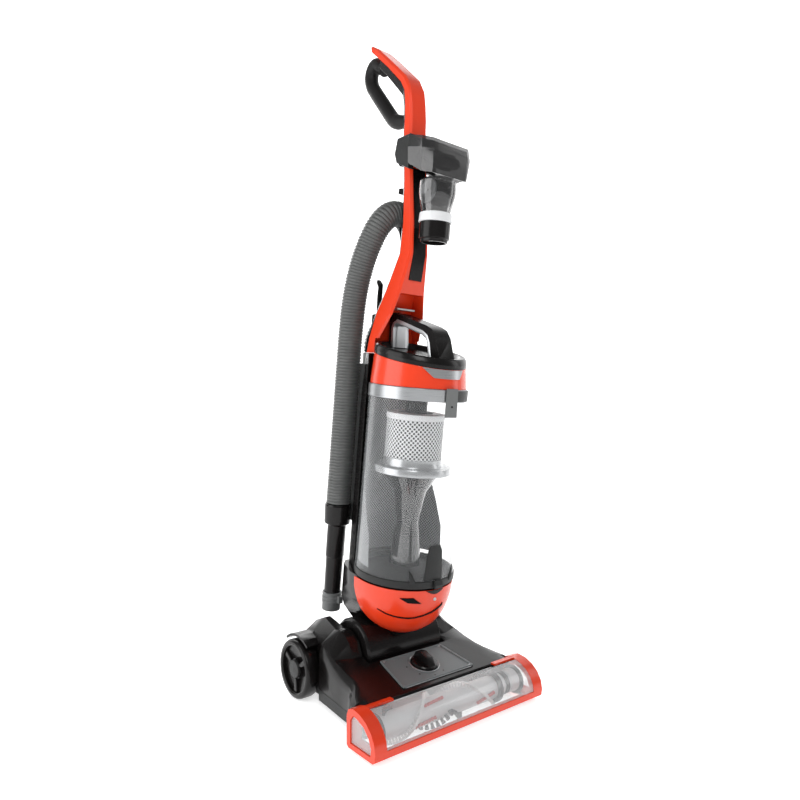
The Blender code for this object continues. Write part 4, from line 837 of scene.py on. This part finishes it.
def on_tank(radius):
    """Gives a function for points on a drum about the tank's axis: degrees from the front, height, lift."""
    def at(angle, h, lift):
        a = math.radians(angle)
        r = radius + lift
        return leaning(r * math.sin(a), -r * math.cos(a), h)
    return at


def under_lid(angle, share, lift):
    """A point on the lid band: degrees from the front, and the share of the way down the inlay from the lid."""
    turn = math.radians(angle)
    taper = min(1.0, (angle + 37) / 14, (21 - angle) / 7)
    h = 0.3569 - 0.1656 * 0.0770 * math.cos(turn) - (0.0135 * taper + 0.0004) * share
    r = 0.0794 - (h - 0.3140) * 0.083 + lift
    return leaning(r * math.sin(turn), -r * math.cos(turn), h)


inlay = patch(steps(-37, 21, 25), (0.0, 0.5, 1.0), under_lid, 0.0012, 0.0020)
piece("lid_inlay", inlay, band_metal.material, "tank", "silver_plastic")
badge_loops = []
for share in steps(0, 1, 7):
    h = 0.0135 + 0.0560 * share
    shoulder = max(0.0, (share - 0.8) / 0.2)
    half = (12.0 - 3.2 * share) * math.sqrt(max(0.2, 1 - shoulder ** 2 * 0.55))
    at = on_tank(0.0827 - 0.0024 * h / 0.28)
    badge_loops.append([at(-5 + half * t, h, 0.0010) for t in steps(-1, 1, 9)]
                       + [at(-5 + half * t, h, -0.0002) for t in steps(1, -1, 9)])
piece("plain_badge", skin(bmesh.new(), badge_loops), charcoal, "tank", "dark_plastic")
for word, middle, lean_over in (("left", -31, 3.5), ("right", 24, -3.5)):
    clip_loops = []
    for h, half, lift, shift in ((0.0060, 2.0, 0.0026, 0.4), (0.0090, 3.0, 0.0036, 0.4),
                                 (0.0140, 3.0, 0.0040, 0.25), (0.0230, 1.9, 0.0026, -0.4),
                                 (0.0300, 0.7, 0.0012, -1.0)):
        clip_loops.append([on_tank(0.0829)(middle + shift * lean_over + half * t, h, up) for t, up in
                           ((-1, lift * 0.6), (0, lift), (1, lift * 0.6), (1, 0.0), (-1, 0.0))])
    piece("cup_clip_" + word, skin(bmesh.new(), clip_loops), charcoal, "tank", "dark_plastic")
bm = bmesh.new()
bmesh.ops.create_cone(bm, cap_ends=True, segments=20, radius1=0.0016, radius2=0.0014, depth=0.0010,
                      matrix=Matrix.Translation(leaning(0, -0.0851, 0.2880)) @ facing_front)
piece("latch_dot", bm, black, "lid_catch", "grey_plastic")
band_end = patch(steps(9.5, 44, 13), steps(0.2952, 0.3128, 3), on_tank(0.0818), 0.0006, 0.0008)
piece("band_end", band_end, charcoal, "tank", "dark_plastic")

# ------------------------------------------------------------------ carry handle lining
# A silver-grey soft lining is bonded to the inside of the black carry handle, down both of its legs.
lining = [(0.0545, 0.3740), (0.0572, 0.4052), (0.0552, 0.4118), (0.0482, 0.4158), (0.0280, 0.4108),
          (-0.0180, 0.3985), (-0.0282, 0.3928), (-0.0332, 0.3838), (-0.0392, 0.3600)]
lining_section = [(-0.0165, -0.0056), (-0.0168, -0.0050), (-0.0168, 0.0), (-0.0150, 0.0018), (-0.0080, 0.0026),
                  (0.0080, 0.0026), (0.0150, 0.0018), (0.0168, 0.0), (0.0168, -0.0050), (0.0165, -0.0056)]
lining_loops = []
for i, (q, h) in enumerate(lining):
    before, after = lining[max(i - 1, 0)], lining[min(i + 1, len(lining) - 1)]
    dq, dh = after[0] - before[0], after[1] - before[1]
    size = math.hypot(dq, dh)
    inward = (-dh / size, dq / size)
    if (0.012 - q) * inward[0] + (0.385 - h) * inward[1] < 0:
        inward = (-inward[0], -inward[1])
    lining_loops.append([leaning(x, q + inward[0] * d, h + inward[1] * d) for x, d in lining_section])
piece("handle_lining", skin(bmesh.new(), lining_loops), silver, "tank", "silver_plastic")

# ------------------------------------------------------------------ pet turbo tool
# A smoky clear head over a small bristled roller, a round turbine chamber with a pale bladed wheel, a white
# locking ring and a black round nozzle that pushes into the wand.
for node, paint, slot, width in (("tool_shell", smoky, "smoky_plastic", 0.0016),
                                 ("tool_neck", smoky, "smoky_plastic", 0.0010),
                                 ("tool_ring", pale, "pale_plastic", 0.0012),
                                 ("tool_nozzle", black, "black_plastic", 0.0008)):
    softened(node, paint, slot, width)
low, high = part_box("turbine")
hub = (low + high) / 2
bm = turned([(0.0030, -0.0178), (0.0090, -0.0178), (0.0110, -0.0160), (0.0110, 0.0160), (0.0090, 0.0178),
             (0.0030, 0.0178)], 28, Matrix.Translation(hub), "X")
for k in range(9):
    a = 2 * math.pi * k / 9
    out, over = Vector((0, math.cos(a), math.sin(a))), Vector((0, -math.sin(a), math.cos(a)))
    skin(bm, [[hub + Vector((x, 0, 0)) + out * reach + over * (bend + u) for x, u in
               ((-0.0165, -half), (-0.0165, half), (0.0165, half), (0.0165, -half))]
              for reach, bend, half in ((0.0100, 0.0, 0.0012), (0.0192, 0.0050, 0.0007))])
piece("turbine_wheel", bm, silver, "tool_turbine", "pale_plastic", ("turbine",))
plate = [(0.0020, hub.x - 0.0208), (0.0130, hub.x - 0.0212), (0.0150, hub.x - 0.0226), (0.0196, hub.x - 0.0222),
         (0.0206, hub.x - 0.0208), (0.0206, hub.x - 0.0196), (0.0020, hub.x - 0.0196)]
piece("turbine_plate", turned(plate, 48, Matrix.Translation((0, hub.y, hub.z)), "X"), silver, "tool", "smoky_plastic")
low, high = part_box("tool_brush")
spin = (low + high) / 2
bm = turned([(0.0020, low.x), (0.0085, low.x), (0.0085, high.x), (0.0020, high.x)], 28,
            Matrix.Translation((0, spin.y, spin.z)), "X")
for row in range(3):
    for k in range(16):
        x = low.x + 0.004 + (high.x - low.x - 0.008) * k / 15
        a = 2 * math.pi * row / 3 + 1.6 * k / 15
        out, over = Vector((0, math.cos(a), math.sin(a))), Vector((0, -math.sin(a), math.cos(a)))
        foot = Vector((x, spin.y, spin.z)) + out * 0.0080
        skin(bm, [[foot + out * reach + (Vector((1, 0, 0)) * math.cos(t) + over * math.sin(t)) * size
                   for t in [2 * math.pi * i / 7 for i in range(7)]]
                  for reach, size in ((0.0, 0.0012), (0.0064, 0.0019))])
piece("tool_roller", bm, black_fibre, "tool_roller", "rubber", ("tool_brush",))
